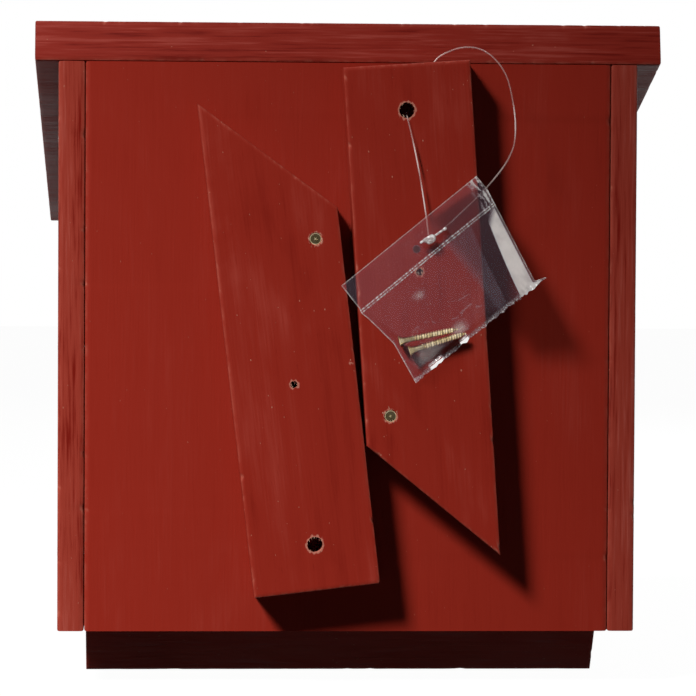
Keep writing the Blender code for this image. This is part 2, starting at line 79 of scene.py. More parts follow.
# Places and sizes that the frame gives
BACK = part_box("back_panel")[0].y
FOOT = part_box("back_panel")[0].z
BODY_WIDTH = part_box("side_board_right")[1].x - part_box("side_board_left")[0].x
BODY_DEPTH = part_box("side_board_right")[1].y - BACK
BOARD_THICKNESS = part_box("side_board_right")[1].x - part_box("side_board_right")[0].x
ROOF_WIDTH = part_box("roof_board")[1].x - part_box("roof_board")[0].x
JOINTS = {joint["name"]: joint for joint in frame["joints"]}

# Roof, slats and battens, as the house is built
ROOF_SLOPE = math.radians(14.0)
ROOF_REACH = 0.330
ROOF_THICKNESS = 0.021
SIDE_TOP_BACK = 0.3192
SLAT_SLOPE = math.radians(50.0)
SLAT_THICKNESS = 0.010
FLOOR_SLAT_WIDTH = 0.060
FRONT_SLAT_WIDTH = 0.050
BATTEN_WIDTH = 0.0645
BATTEN_LENGTH = 0.252
BATTEN_BEVEL_DROP = 0.060
BATTEN_THICKNESS = 0.020
PIVOT_FROM_EDGE = 0.013
PIVOT_FROM_BEVEL = 0.0145
HANG_HOLE_FROM_PIVOT = 0.154
HANG_HOLE_INWARDS = 0.0014
HANG_HOLE_BORE = 0.008
LOCK_HOLE_FROM_PIVOT = 0.072
LOCK_HOLE_BORE = 0.0036
SEAT_GAP = 0.0003
# Where the left batten's inner edge is rubbed bare, across and up
WORN_SPOT = (0.0006, 0.1666)

# Nails, and countersunk screws: head, its depth, shank, length and tip
NAIL_HEAD_PROUD = 0.00015
MERGE_DISTANCE = 0.000001
SCREW_HEAD = 0.0060
SCREW_HEAD_DEPTH = 0.0020
SCREW_SHANK = 0.0030
SCREW_LENGTH = 0.030
SCREW_SINK = 0.0004
SMALL_SCREW = (SCREW_HEAD, SCREW_HEAD_DEPTH, SCREW_SHANK, SCREW_LENGTH, 0.003)
ROOF_SCREW_HEAD = 0.0072
ROOF_SCREW_HEAD_DEPTH = 0.0024
ROOF_SCREW_SHANK = 0.0035
ROOF_SCREW_LENGTH = 0.045
ROOF_SCREW = (ROOF_SCREW_HEAD, ROOF_SCREW_HEAD_DEPTH, ROOF_SCREW_SHANK, ROOF_SCREW_LENGTH, 0.004)
ROOF_SCREW_FROM_BACK = 0.055
ROOF_SCREW_SPACING = 0.190
RECESS_TURNS = {"left": math.radians(38.0), "right": math.radians(12.0)}

# The bag: its seal's ridges lie that far below its top edge, and the punched air hole across and down
BAG_WIDTH = 0.088
BAG_HEIGHT = 0.062
BAG_LEAN = math.radians(39.4)
BAG_TOP_LEFT = (-0.0048, 0.2056)
BAG_FILM = 0.00025
SEAL_RIDGES = (0.0162, 0.0172)
AIR_HOLE = (0.0413, 0.0097)
# Each spare screw's head in the bag, across and down, and its dip to the right
SPARE_SCREWS = {"spare_screw_1": (0.0048, 0.0402, math.radians(27.0)),
                "spare_screw_2": (0.0056, 0.0472, math.radians(21.5))}

# The nylon loop: its points across, out from the back of the house, and up
LOOP_DIAMETER = 0.0008
LOCK_CENTRE = (0.0400, -0.0257, 0.2298)
LOCK_LEAN = math.radians(35.5)
LOOP_ROUTE = [
    (0.0390, -0.0257, 0.2314), (0.03866, -0.0257, 0.23459), (0.03662, -0.0252, 0.2493),
    (0.03288, -0.0242, 0.27051), (0.02974, -0.0232, 0.2846), (0.02884, -0.0229, 0.2881),
    (0.02844, -0.0227, 0.2898), (0.02814, -0.0221, 0.2911), (0.02804, -0.0209, 0.2917),
    (0.02804, -0.0190, 0.2917), (0.02804, -0.0070, 0.2915), (0.02804, -0.0025, 0.2915),
    (0.02814, -0.0016, 0.2917), (0.02844, -0.00094, 0.2923), (0.02894, -0.0007, 0.2931),
    (0.03104, -0.0007, 0.2971), (0.03984, -0.0007, 0.3134), (0.04264, -0.0008, 0.3184),
    (0.0444, -0.0016, 0.32097), (0.04728, -0.0046, 0.32331), (0.05171, -0.0090, 0.32531),
    (0.05592, -0.0135, 0.3265), (0.06233, -0.0185, 0.32639), (0.06826, -0.0222, 0.32389),
    (0.07414, -0.0248, 0.31823), (0.0780, -0.0260, 0.3117), (0.0806, -0.0266, 0.3024),
    (0.0826, -0.0266, 0.2890), (0.0822, -0.0260, 0.2780), (0.0800, -0.0252, 0.2715),
    (0.0765, -0.0242, 0.2655), (0.0680, -0.0224, 0.2549), (0.0620, -0.02215, 0.2488),
    (0.0510, -0.02215, 0.2383), (0.0490, -0.0224, 0.2365), (0.0478, -0.0231, 0.2355),
    (0.0459, -0.0248, 0.2339), (0.0446, -0.0254, 0.2329), (0.0434, -0.0257, 0.2321),
    (0.04236, -0.0257, 0.23148),
]
# Points of the route round which highlights are painted on the strand
LOOP_GLINTS = (2, 3, 18, 27)

# Straw: how far the stalks' beds and the solid core lie behind the slats
STRAW_BED_INSETS = (0.0045, 0.0077, 0.0109)
STRAW_BED_MARGIN = 0.004
STRAW_CORE_INSET = 0.012
STALKS_BEHIND_EACH = 4

# Camera of the photograph: place, aim and lens
CAMERA_PLACE = (-0.1047, BACK - 1.9088, 0.2409)
CAMERA_YAW = math.radians(3.142)
CAMERA_PITCH = math.radians(-2.024)
CAMERA_ROLL = math.radians(-0.313)
CAMERA_LENS = 193.35
CAMERA_SENSOR = 36.0

# Lamps and floor
KEY_FROM = (0.0, BACK, 0.170)
KEY_DIRECTION = (-0.51, -0.57, 0.65)
KEY_AIM = (-0.440, BACK, -0.397)
FRONT_LAMP_PLACE = (0.9, 1.7, 1.3)
FRONT_LAMP_AIM = (0.0, 0.0, 0.15)
FRONT_LAMP_SIZE = 1.2
FLOOR_REACH = 6.0
FLOOR_GLOW = 0.975
WHITE = (1.0, 1.0, 1.0, 1.0)


class Field:
    """A node's output to reckon with: each operation adds a Math node to its tree."""

    def __init__(self, socket):
        self.socket = socket
        self.tree = socket.id_data

    def maths(self, operation, *values):
        """The result of one Math node in this field's tree."""
        return field(self.tree, "ShaderNodeMath", dict(enumerate(values)), operation=operation)

    def __add__(self, other):
        return self.maths("ADD", self, other)

    def __sub__(self, other):
        return self.maths("SUBTRACT", self, other)

    def __rsub__(self, other):
        return self.maths("SUBTRACT", other, self)

    def __mul__(self, other):
        return self.maths("MULTIPLY", self, other)

    def __truediv__(self, other):
        return self.maths("DIVIDE", self, other)

    def __pow__(self, other):
        return self.maths("POWER", self, other)

    def __abs__(self):
        return self.maths("ABSOLUTE", self)

    def most(self, other):
        """The larger of two values."""
        return self.maths("MAXIMUM", self, other)

    def least(self, other):
        """The smaller of two values."""
        return self.maths("MINIMUM", self, other)

    def clamped(self):
        """The value kept between 0 and 1."""
        return field(self.tree, "ShaderNodeClamp", {"Value": self})


def fill(node, inputs):
    """Sets a node's inputs: each takes a value, a field or another node's output."""
    for key, value in inputs.items():
        if isinstance(value, Field):
            value = value.socket
        if isinstance(value, bpy.types.NodeSocket):
            node.id_data.links.new(value, node.inputs[key])
        else:
            node.inputs[key].default_value = value


def put(tree, kind, inputs=None, **settings):
    """Adds a node with its settings and inputs."""
    node = tree.nodes.new(kind)
    for key, value in settings.items():
        setattr(node, key, value)
    fill(node, inputs or {})
    return node


def field(tree, kind, inputs=None, output=0, **settings):
    """Adds a node, and returns one of its outputs."""
    return Field(put(tree, kind, inputs, **settings).outputs[output])


def highest(fields):
    """The largest of several fields."""
    return functools.reduce(Field.most, fields)


def rise(value, low, high):
    """Stretches low..high to 0..1, smoothly and clamped."""
    inputs = {"Value": value, "From Min": low, "From Max": high}
    return field(value.tree, "ShaderNodeMapRange", inputs, interpolation_type="SMOOTHSTEP")


def fade(value, low, high):
    """Falls smoothly from 1 at low to 0 at high."""
    return 1.0 - rise(value, low, high)


def mixed(factor, first, second):
    """A colour between two others."""
    return field(factor.tree, "ShaderNodeMix", {0: factor, 6: first, 7: second}, 2, data_type="RGBA")


def vectors(operation, first, second):
    """The result of one Vector Math node."""
    return field(first.tree, "ShaderNodeVectorMath", {0: first, 1: second}, operation=operation)


def distance(coords, centre, stretch=(1.0, 1.0, 1.0)):
    """How far the coordinates lie from a centre, each axis stretched first."""
    off = vectors("MULTIPLY", vectors("SUBTRACT", coords, centre), stretch)
    return field(off.tree, "ShaderNodeVectorMath", {0: off}, "Value", operation="LENGTH")


def noise_at(coords, stretch, detail=3.0, distortion=0.0):
    """Noise of which one unit is one metre over the stretch, along each axis or along all three."""
    stretch = stretch if isinstance(stretch, tuple) else (stretch,) * 3
    inputs = {"Vector": vectors("MULTIPLY", coords, stretch), "Scale": 1.0, "Detail": detail,
              "Distortion": distortion}
    return field(coords.tree, "ShaderNodeTexNoise", inputs, "Fac")


def split(vector):
    """The three parts of a vector."""
    return [Field(socket) for socket in put(vector.tree, "ShaderNodeSeparateXYZ", {0: vector}).outputs]


def object_coords(tree):
    """Object coordinates."""
    return field(tree, "ShaderNodeTexCoord", output="Object")


def attribute(tree, name):
    """A number that the mesh carries at its vertices."""
    return field(tree, "ShaderNodeAttribute", output="Fac", attribute_name=name)


def bump(height, strength, reach):
    """A normal for small relief."""
    return field(height.tree, "ShaderNodeBump", {"Height": height, "Strength": strength, "Distance": reach})


def seen(tree):
    """1 for what the camera sees, also mirrored or through something clear, and 0 for bounced light."""
    rays = put(tree, "ShaderNodeLightPath").outputs
    camera, glossy, clear = (Field(rays[f"Is {kind} Ray"]) for kind in ("Camera", "Glossy", "Transmission"))
    return (camera + glossy + clear).clamped()


def node_group(name, kind, inputs, outputs):
    """An empty node group with named sockets; returns it with its inputs as fields and its output node."""
    tree = bpy.data.node_groups.new(name, kind)
    for label, what, value in inputs:
        base = "Float" if what == "Distance" else what
        socket = tree.interface.new_socket(label, in_out="INPUT", socket_type="NodeSocket" + base)
        if what == "Distance":
            socket.subtype = "DISTANCE"
        if value is not None:
            socket.default_value = value
    for label, what in outputs:
        tree.interface.new_socket(label, in_out="OUTPUT", socket_type="NodeSocket" + what)
    given = {socket.name: Field(socket) for socket in tree.nodes.new("NodeGroupInput").outputs if socket.name}
    return tree, given, tree.nodes.new("NodeGroupOutput")


def shared(library, name):
    """Makes a builder's node group or material once, and finds it by its name after that."""
    def wrap(build):
        @functools.wraps(build)
        def find():
            store = getattr(bpy.data, library)
            return store[name] if name in store else build(name)
        return find
    return wrap


@shared("node_groups", "stained_grain")
def stained_grain(name):
    """Colour, roughness and height of stained softwood, its grain along X."""
    tree, given, made = node_group(name, "ShaderNodeTree", [
        ("Board", "Vector", (0.0, 0.0, 0.0)), ("Seed", "Float", 0.0),
        ("Dark", "Color", (0.15, 0.010, 0.006, 1.0)), ("Stain", "Color", (0.24, 0.018, 0.010, 1.0)),
        ("Pale", "Color", (0.33, 0.050, 0.034, 1.0)), ("Figure", "Float", 0.0),
        *((weight, "Float", 0.5) for weight in ("Streaks", "Clouds", "Fibres", "Specks")),
    ], [("Color", "Color"), ("Roughness", "Float"), ("Height", "Float")])
    shift = field(tree, "ShaderNodeVectorMath", {0: (0.31, 0.17, 0.23), "Scale": given["Seed"]},
                  operation="SCALE")
    coords = vectors("ADD", given["Board"], shift)
    streaks = noise_at(coords, (6.0, 170.0, 170.0), 4.0, 0.3)
    clouds = noise_at(coords, (10.0, 21.0, 21.0), 3.0, 1.3)
    fibres = noise_at(coords, (38.0, 950.0, 950.0))
    figure = field(tree, "ShaderNodeTexWave", {
        "Vector": vectors("MULTIPLY", coords, (8.0, 34.0, 34.0)), "Scale": 1.0, "Distortion": 7.0,
        "Detail": 2.0,
        "Detail Scale": 0.8}, "Fac", bands_direction="Y")
    tone = 0.5
    for weight, pattern in (("Streaks", streaks), ("Clouds", clouds), ("Fibres", fibres), ("Figure", figure)):
        tone = (pattern - 0.5) * given[weight] * 4.0 + tone
    colour = mixed(rise(tone, -0.45, 0.5), given["Dark"], given["Stain"])
    colour = mixed(rise(tone, 0.5, 1.5), colour, given["Pale"])
    pores = rise(noise_at(coords, (120.0, 1900.0, 1900.0), 1.0), 0.70, 0.78)
    colour = mixed(pores * given["Specks"] * 0.6, colour, given["Dark"])
    specks = rise(noise_at(coords, (520.0, 900.0, 900.0), 0.0), 0.845, 0.87)
    colour = mixed(specks * given["Specks"], colour, (0.42, 0.16, 0.11, 1.0))
    rough = ((fibres - 0.5) * 0.35 + 0.50 + (clouds - 0.5) * 0.30).clamped()
    fill(made, {"Color": colour, "Roughness": rough, "Height": streaks * 0.6 + fibres * 0.5})
    return tree


@shared("node_groups", "chipped_rim")
def chipped_rim(name):
    """A ragged pale ring round one hole, in the board's own plane."""
    tree, given, made = node_group(name, "ShaderNodeTree", [
        ("Board", "Vector", (0.0, 0.0, 0.0)), ("Centre", "Vector", (0.0, 0.0, 0.0)), ("Radius",
        "Float", 0.004),
    ], [("Mask", "Float")])
    ragged = noise_at(given["Board"], (260.0, 620.0, 620.0), 2.0)
    reach = (ragged - 0.47) * 0.0038 + given["Radius"]
    past = distance(given["Board"], given["Centre"], (1.0, 1.0, 0.0)) - reach
    fill(made, {"Mask": fade(past, 0.0002, 0.0009)})
    return tree


def new_material(name):
    """A material with its tree and its Principled shader."""
    mat = bpy.data.materials.new(name)
    mat.use_nodes = True
    return mat, mat.node_tree, mat.node_tree.nodes["Principled BSDF"]


def wood_material(name, place, look, seed, rims=()):
    """Stained wood of one board; place is its frame, X along the grain, rims its holes' centres and radii."""
    mat, tree, shader = new_material(name)
    board = field(tree, "ShaderNodeMapping", {
        "Vector": object_coords(tree), "Location": place.to_translation(), "Rotation": place.to_euler()},
        vector_type="TEXTURE")
    inputs = {"Board": board, "Seed": seed, **look}
    grain = put(tree, "ShaderNodeGroup", inputs, node_tree=stained_grain()).outputs
    patchy = rise(noise_at(board, (160.0, 420.0, 420.0), 2.0), 0.40, 0.62)
    worn = attribute(tree, "worn") ** 2.2 * (patchy * 0.7 + 0.3)
    colour = mixed(worn * 0.75, grain["Color"], (0.46, 0.145, 0.10, 1.0))
    for centre, radius in rims:
        inputs = {"Board": board, "Centre": centre, "Radius": radius}
        rim = field(tree, "ShaderNodeGroup", inputs, node_tree=chipped_rim())
        colour = mixed(rim * 0.75, colour, (0.50, 0.19, 0.135, 1.0))
    relief = bump(Field(grain["Height"]), 0.35, 0.0004)
    fill(shader, {
        "Base Color": colour, "Roughness": grain["Roughness"], "Specular IOR Level": 0.06, "Normal": relief})
    return mat


def linked(name, data):
    """A new object in the scene."""
    obj = bpy.data.objects.new(name, data)
    bpy.context.scene.collection.objects.link(obj)
    return obj


def mesh_piece(name, vertices, faces, place=None):
    """A mesh object whose place is in its mesh."""
    mesh = bpy.data.meshes.new(name)
    mesh.from_pydata([tuple(v) for v in vertices], [], faces)
    if place is not None:
        mesh.transform(place)
    mesh.update()
    return linked(name, mesh)


def bmesh_piece(name, bm, place=None):
    """The same from a bmesh, which it frees."""
    mesh = bpy.data.meshes.new(name)
    bm.to_mesh(mesh)
    bm.free()
    if place is not None:
        mesh.transform(place)
    return linked(name, mesh)


def plain_mesh(obj):
    """Replaces an object's data and modifiers by its evaluated mesh."""
    graph = bpy.context.evaluated_depsgraph_get()
    mesh = bpy.data.meshes.new_from_object(obj.evaluated_get(graph))
    obj.modifiers.clear()
    obj.data = mesh
    return obj


def carry(obj, name, values):
    """Gives each vertex a number that the materials read."""
    obj.data.attributes.new(name, "FLOAT", "POINT").data.foreach_set("value", values.astype(np.float32))


def smooth(obj, degrees=35.0):
    """Shades the piece smooth between edges sharper than that."""
    obj.data.shade_smooth()
    obj.data.set_sharp_from_angle(angle=math.radians(degrees))
    return obj


def belongs(obj, mat, body, slot, *nodes):
    """Gives a finished piece its material and body, and hides the nodes that it stands for; its slot is not
    used.
    """
    obj.data.materials.clear()
    obj.data.materials.append(mat)
    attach(obj, body)
    if nodes:
        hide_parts(*nodes)
    return obj


def axes(origin, x_axis, y_axis):
    """A place whose X and Y axes run along two directions at a right angle."""
    x_dir = Vector(x_axis).normalized()
    y_dir = Vector(y_axis).normalized()
    place = Matrix((x_dir, y_dir, x_dir.cross(y_dir))).transposed().to_4x4()
    place.translation = Vector(origin)
    return place


def along(origin, direction):
    """A place whose Z axis runs along the direction."""
    place = Vector(direction).to_track_quat("Z", "Y").to_matrix().to_4x4()
    place.translation = Vector(origin)
    return place


def shifted(place, x=0.0, y=0.0, z=0.0):
    """The place moved along its own axes."""
    return place @ Matrix.Translation((x, y, z))


def rectangle(half, low, high):
    """Corners of a rectangle that is centred across, counter-clockwise."""
    return [(-half, low), (half, low), (half, high), (-half, high)]


def tube_faces(rings, sides):
    """Faces of a closed tube of rings of vertices, from the bottom cap to the top cap."""
    faces = [tuple(reversed(range(sides)))]
    for low in range(0, (rings - 1) * sides, sides):
        for k in range(sides):
            after = (k + 1) % sides
            faces.append((low + k, low + after, low + sides + after, low + sides + k))
    return faces + [tuple(range((rings - 1) * sides, rings * sides))]


def dense_outline(corners, step):
    """Points along a closed outline, as side, share of the side and inward direction, and its mitres."""
    count = len(corners)
    sides = [(Vector(corners[(k + 1) % count]) - Vector(corners[k])) for k in range(count)]
    normals = [Vector((-side.y, side.x)).normalized() for side in sides]
    mitres = [(normals[k - 1] + normals[k]) / (1.0 + normals[k - 1].dot(normals[k])) for k in range(count)]
    rows = []
    for k, side in enumerate(sides):
        parts = max(1, round(side.length / step))
        for part in range(parts):
            inward = mitres[k] if part == 0 else normals[k]
            rows.append((k, part / parts, inward.x, inward.y))
    return np.array(rows), np.array([tuple(m) for m in mitres])


def inset_ring(corners, rows, mitres, inset, chips):
    """The outline moved inwards by the inset, its corners mitred, and then by the depth of the chips."""
    inner = np.array(corners) + mitres * inset
    index = rows[:, 0].astype(int)
    share = rows[:, 1:2]
    flat = inner[index] * (1.0 - share) + inner[(index + 1) % len(inner)] * share
    return flat + rows[:, 2:4] * np.reshape(chips, (-1, 1))


def chip_depths(points, seed, wear):
    """How deep the arris is worn at each point: a slight waviness and a few chips."""
    depths = []
    for x, y in points:
        ripple = noise.noise(Vector((x * 90.0, y * 90.0, seed)))
        nick = noise.noise(Vector((x * 260.0, y * 260.0, seed + 7.3)))
        depths.append(0.25 + 0.35 * max(0.0, ripple) + 2.2 * max(0.0, nick - 0.42) / 0.58)
    return np.array(depths) * wear


def sawn_board(name, corners, thickness, place, seed, step=0.0016, rounding=0.0007, wear=1.0):
    """A sawn board with worn arrises; its outline turns counter-clockwise, its thickness lies along Z."""
    rows, mitres = dense_outline(corners, step)
    half = thickness / 2
    margin = 0.0022
    points = inset_ring(corners, rows, mitres, 0.0, np.zeros(len(rows)))
    vertices, worn = [], []
    for side in (-1.0, 1.0):
        chips = chip_depths(points, seed + 3.1 * side, wear) * rounding
        shade = np.clip(0.35 + chips / rounding * 0.65, 0.0, 1.0)
        none = chips * 0.0
        # From the face over the arris to the edge: inset, chips, height and how worn it looks
        steps = [
            (margin, none, none + half, 0.0),
            (rounding, chips, none + half, 0.75),
            (0.3 * rounding, chips * 0.55, half - 0.3 * rounding - 0.35 * chips, 1.0),
            (0.0, chips * 0.25, half - rounding - chips * 0.8, 0.75),
            (0.0, none, none + half - margin - rounding, 0.0),
        ]
        for inset, deep, height, look in steps if side < 0 else steps[::-1]:
            flat = inset_ring(corners, rows, mitres, inset, deep)
            vertices.append(np.column_stack([flat, side * height]))
            worn.append(look * shade)
    board = mesh_piece(name, np.vstack(vertices), tube_faces(len(vertices), len(points)))
    carry(board, "worn", np.concatenate(worn))
    board.data.transform(place)
    return board


def round_cutter(place, radius, low, high, mouth=None, sides=32):
    """A round cutter along the place's Z; mouth widens its upper end to that radius over that depth."""
    rings = [(radius, low), (radius, high)]
    if mouth:
        wide, depth = mouth
        rings = [(radius, low), (radius, high - depth), (wide, high), (wide, high + 0.002)]
    turns = [2 * math.pi * k / sides for k in range(sides)]
    vertices = [(r * math.cos(turn), r * math.sin(turn), height) for r, height in rings for turn in turns]
    return mesh_piece("cutter", vertices, tube_faces(len(rings), sides), place)


def drill(obj, cutters):
    """Cuts the holes and removes their cutters."""
    for cutter in cutters:
        boolean = obj.modifiers.new("hole", "BOOLEAN")
        boolean.operation = "DIFFERENCE"
        boolean.solver = "EXACT"
        boolean.object = cutter
    plain_mesh(obj)
    for cutter in cutters:
        bpy.data.objects.remove(cutter, do_unlink=True)
    return obj


def between(first, last, low, high, t):
    """The point at t on the line that is at first for low and at last for high."""
    return first * ((high - t) / (high - low)) + last * ((t - low) / (high - low))


def smooth_route(points, count, steps=24):
    """Evenly spaced points on the smooth curve through the route's own points, and its length."""
    nodes = [Vector(p) for p in points]
    nodes = [nodes[0] * 2 - nodes[1]] + nodes + [nodes[-1] * 2 - nodes[-2]]
    fine = []
    for a, b, c, d in zip(nodes, nodes[1:], nodes[2:], nodes[3:]):
        ta = 0.0
        tb = ta + math.sqrt((b - a).length)
        tc = tb + math.sqrt((c - b).length)
        td = tc + math.sqrt((d - c).length)
        for k in range(steps):
            t = tb + (tc - tb) * k / steps
            ab, bc, cd = between(a, b, ta, tb, t), between(b, c, tb, tc, t), between(c, d, tc, td, t)
            fine.append(between(between(ab, bc, ta, tc, t), between(bc, cd, tb, td, t), tb, tc, t))
    fine.append(nodes[-2])
    table = np.array([tuple(p) for p in fine])
    lengths = np.concatenate([[0.0], np.cumsum(np.linalg.norm(np.diff(table, axis=0), axis=1))])
    places = np.linspace(0.0, lengths[-1], count)
    return np.column_stack([np.interp(places, lengths, table[:, k]) for k in range(3)]), float(lengths[-1])


def ramp(value, low, high):
    """Rises smoothly from 0 at low to 1 at high, for arrays."""
    t = np.clip((value - low) / (high - low), 0.0, 1.0)
    return t * t * (3.0 - 2.0 * t)


def noise_grid(x, y, seed, across, down):
    """Noise at each point of a grid, with so many waves a metre across and down."""
    values = [noise.noise(Vector((a, b, seed))) for a, b in zip(x.ravel() * across, y.ravel() * down)]
    return np.reshape(values, x.shape)


def batten_place(side):
    """A batten's frame about its screw: X to its inner edge, Y to its slanting end, Z out of its face."""
    joint = JOINTS[f"batten_{side}_turn"]
    lean = -math.radians(joint["range_deg"][1] - 180.0)
    flip = 1.0 if side == "left" else -1.0
    upright = Vector((math.sin(lean), 0.0, math.cos(lean)))
    across = Vector((math.cos(lean), 0.0, -math.sin(lean)))
    return axes(joint["pos_m"], across * flip, upright * flip)


def grain_along_y(place):
    """The same place with its X axis where its Y axis was, for the grain."""
    return place @ Matrix.Rotation(math.pi / 2, 4, "Z")


def bag_place():
    """The bag's frame: X along its top edge, Y up from it, Z out of its front."""
    top = (math.cos(BAG_LEAN), 0.0, math.sin(BAG_LEAN))
    up = (-math.sin(BAG_LEAN), 0.0, math.cos(BAG_LEAN))
    x, z = BAG_TOP_LEFT
    behind = BATTEN_THICKNESS + 2 * LOOP_DIAMETER + 4 * SEAT_GAP
    return axes((x, BACK - behind, z), top, up)


class StageSettings(bpy.types.PropertyGroup):
    """Lamps and backdrop."""
    key_power: bpy.props.FloatProperty(
        name="Key power", description="Power of the key lamp", default=815.0, unit="POWER")
    key_distance: bpy.props.FloatProperty(
        name="Key distance", description="Distance of the key lamp from the house", default=3.0,
        unit="LENGTH")
    key_radius: bpy.props.FloatProperty(
        name="Key radius", description="Radius of the key lamp, which softens shadows", default=0.34,
        unit="LENGTH")
    key_cone: bpy.props.FloatProperty(
        name="Key cone", description="Full angle of the key lamp's beam", default=math.radians(43.7),
        subtype="ANGLE")
    front_power: bpy.props.FloatProperty(
        name="Front power", description="Power of the soft lamp on the louvred side", default=30.0,
        unit="POWER")
    fill: bpy.props.FloatProperty(
        name="Fill", description="Strength of the even light from all around", default=0.008,
        subtype="FACTOR")
    floor: bpy.props.FloatVectorProperty(
        name="Floor", description="Colour that the floor bounces", default=(0.022, 0.022, 0.022),
        subtype="COLOR", size=3)


class WoodSettings(bpy.types.PropertyGroup):
    """Stain and wear of the boards."""
    stain: bpy.props.FloatVectorProperty(
        name="Stain", description="Colour of the red-brown stain", default=(0.235, 0.0165, 0.0085),
        subtype="COLOR", size=3)
    pale: bpy.props.FloatVectorProperty(
        name="Pale stain", description="Colour where the stain is thin", default=(0.31, 0.041, 0.027),
        subtype="COLOR", size=3)
    dark: bpy.props.FloatVectorProperty(
        name="Dark stain", description="Colour where the stain has soaked in",
        default=(0.150, 0.0065, 0.0030),
        subtype="COLOR", size=3)
    rounding: bpy.props.FloatProperty(
        name="Rounding", description="Radius of a board's sawn edges", default=0.0007, unit="LENGTH")
    wear: bpy.props.FloatProperty(
        name="Wear", description="Depth of the chips along the edges", default=1.0, subtype="FACTOR")


class ScrewSettings(bpy.types.PropertyGroup):
    """Threads and plating of the screws."""
    pitch: bpy.props.FloatProperty(
        name="Pitch", description="Rise of the thread in one turn", default=0.00135, unit="LENGTH")
    thread: bpy.props.FloatProperty(
        name="Thread", description="Height of the thread", default=0.0005, unit="LENGTH")
    plating: bpy.props.FloatVectorProperty(
        name="Plating", description="Colour of the yellow zinc", default=(0.88, 0.74, 0.48),
        subtype="COLOR", size=3)


class TagSettings(bpy.types.PropertyGroup):
    """Film bag and nylon loop."""
    film: bpy.props.FloatVectorProperty(
        name="Film", description="Colour of the film's veil", default=(0.27, 0.20, 0.26), subtype="COLOR",
        size=3)
    veil: bpy.props.FloatProperty(
        name="Veil", description="How much one layer of the clear film hides", default=0.065,
        subtype="FACTOR")
    nylon: bpy.props.FloatVectorProperty(
        name="Nylon", description="Colour of the nylon", default=(0.86, 0.86, 0.84), subtype="COLOR", size=3)


class StrawSettings(bpy.types.PropertyGroup):
    """Straw behind the slats."""
    stalks: bpy.props.IntProperty(
        name="Stalks", description="Stalks that show behind the slats", default=1500, subtype="UNSIGNED")
    length: bpy.props.FloatProperty(
        name="Length", description="Length of the longest stalk", default=0.12, unit="LENGTH")
    radius: bpy.props.FloatProperty(
        name="Radius", description="Radius of a stalk", default=0.0016, unit="LENGTH")
    seed: bpy.props.IntProperty(
        name="Seed", description="Seed of the stalks' places", default=11, subtype="UNSIGNED")
    colour: bpy.props.FloatVectorProperty(
        name="Straw", description="Colour of the straw", default=(0.58, 0.42, 0.17), subtype="COLOR", size=3)


def rgba(colour):
    """A colour property as four numbers."""
    return (*colour, 1.0)


def wood_look(context, **weights):
    """The stain's colours and the weights of its pattern."""
    wood = context.scene.house_wood
    return {"Stain": rgba(wood.stain), "Pale": rgba(wood.pale), "Dark": rgba(wood.dark), "Streaks": 0.5,
            "Clouds": 0.45, "Fibres": 0.45, "Specks": 0.6, "Figure": 0.0, **weights}


def tinted(look, tints):
    """The look with some of its colours multiplied."""
    changed = {name: tuple(c * k for c, k in zip(look[name], (*tint, 1.0))) for name, tint in tints.items()}
    return {**look, **changed}


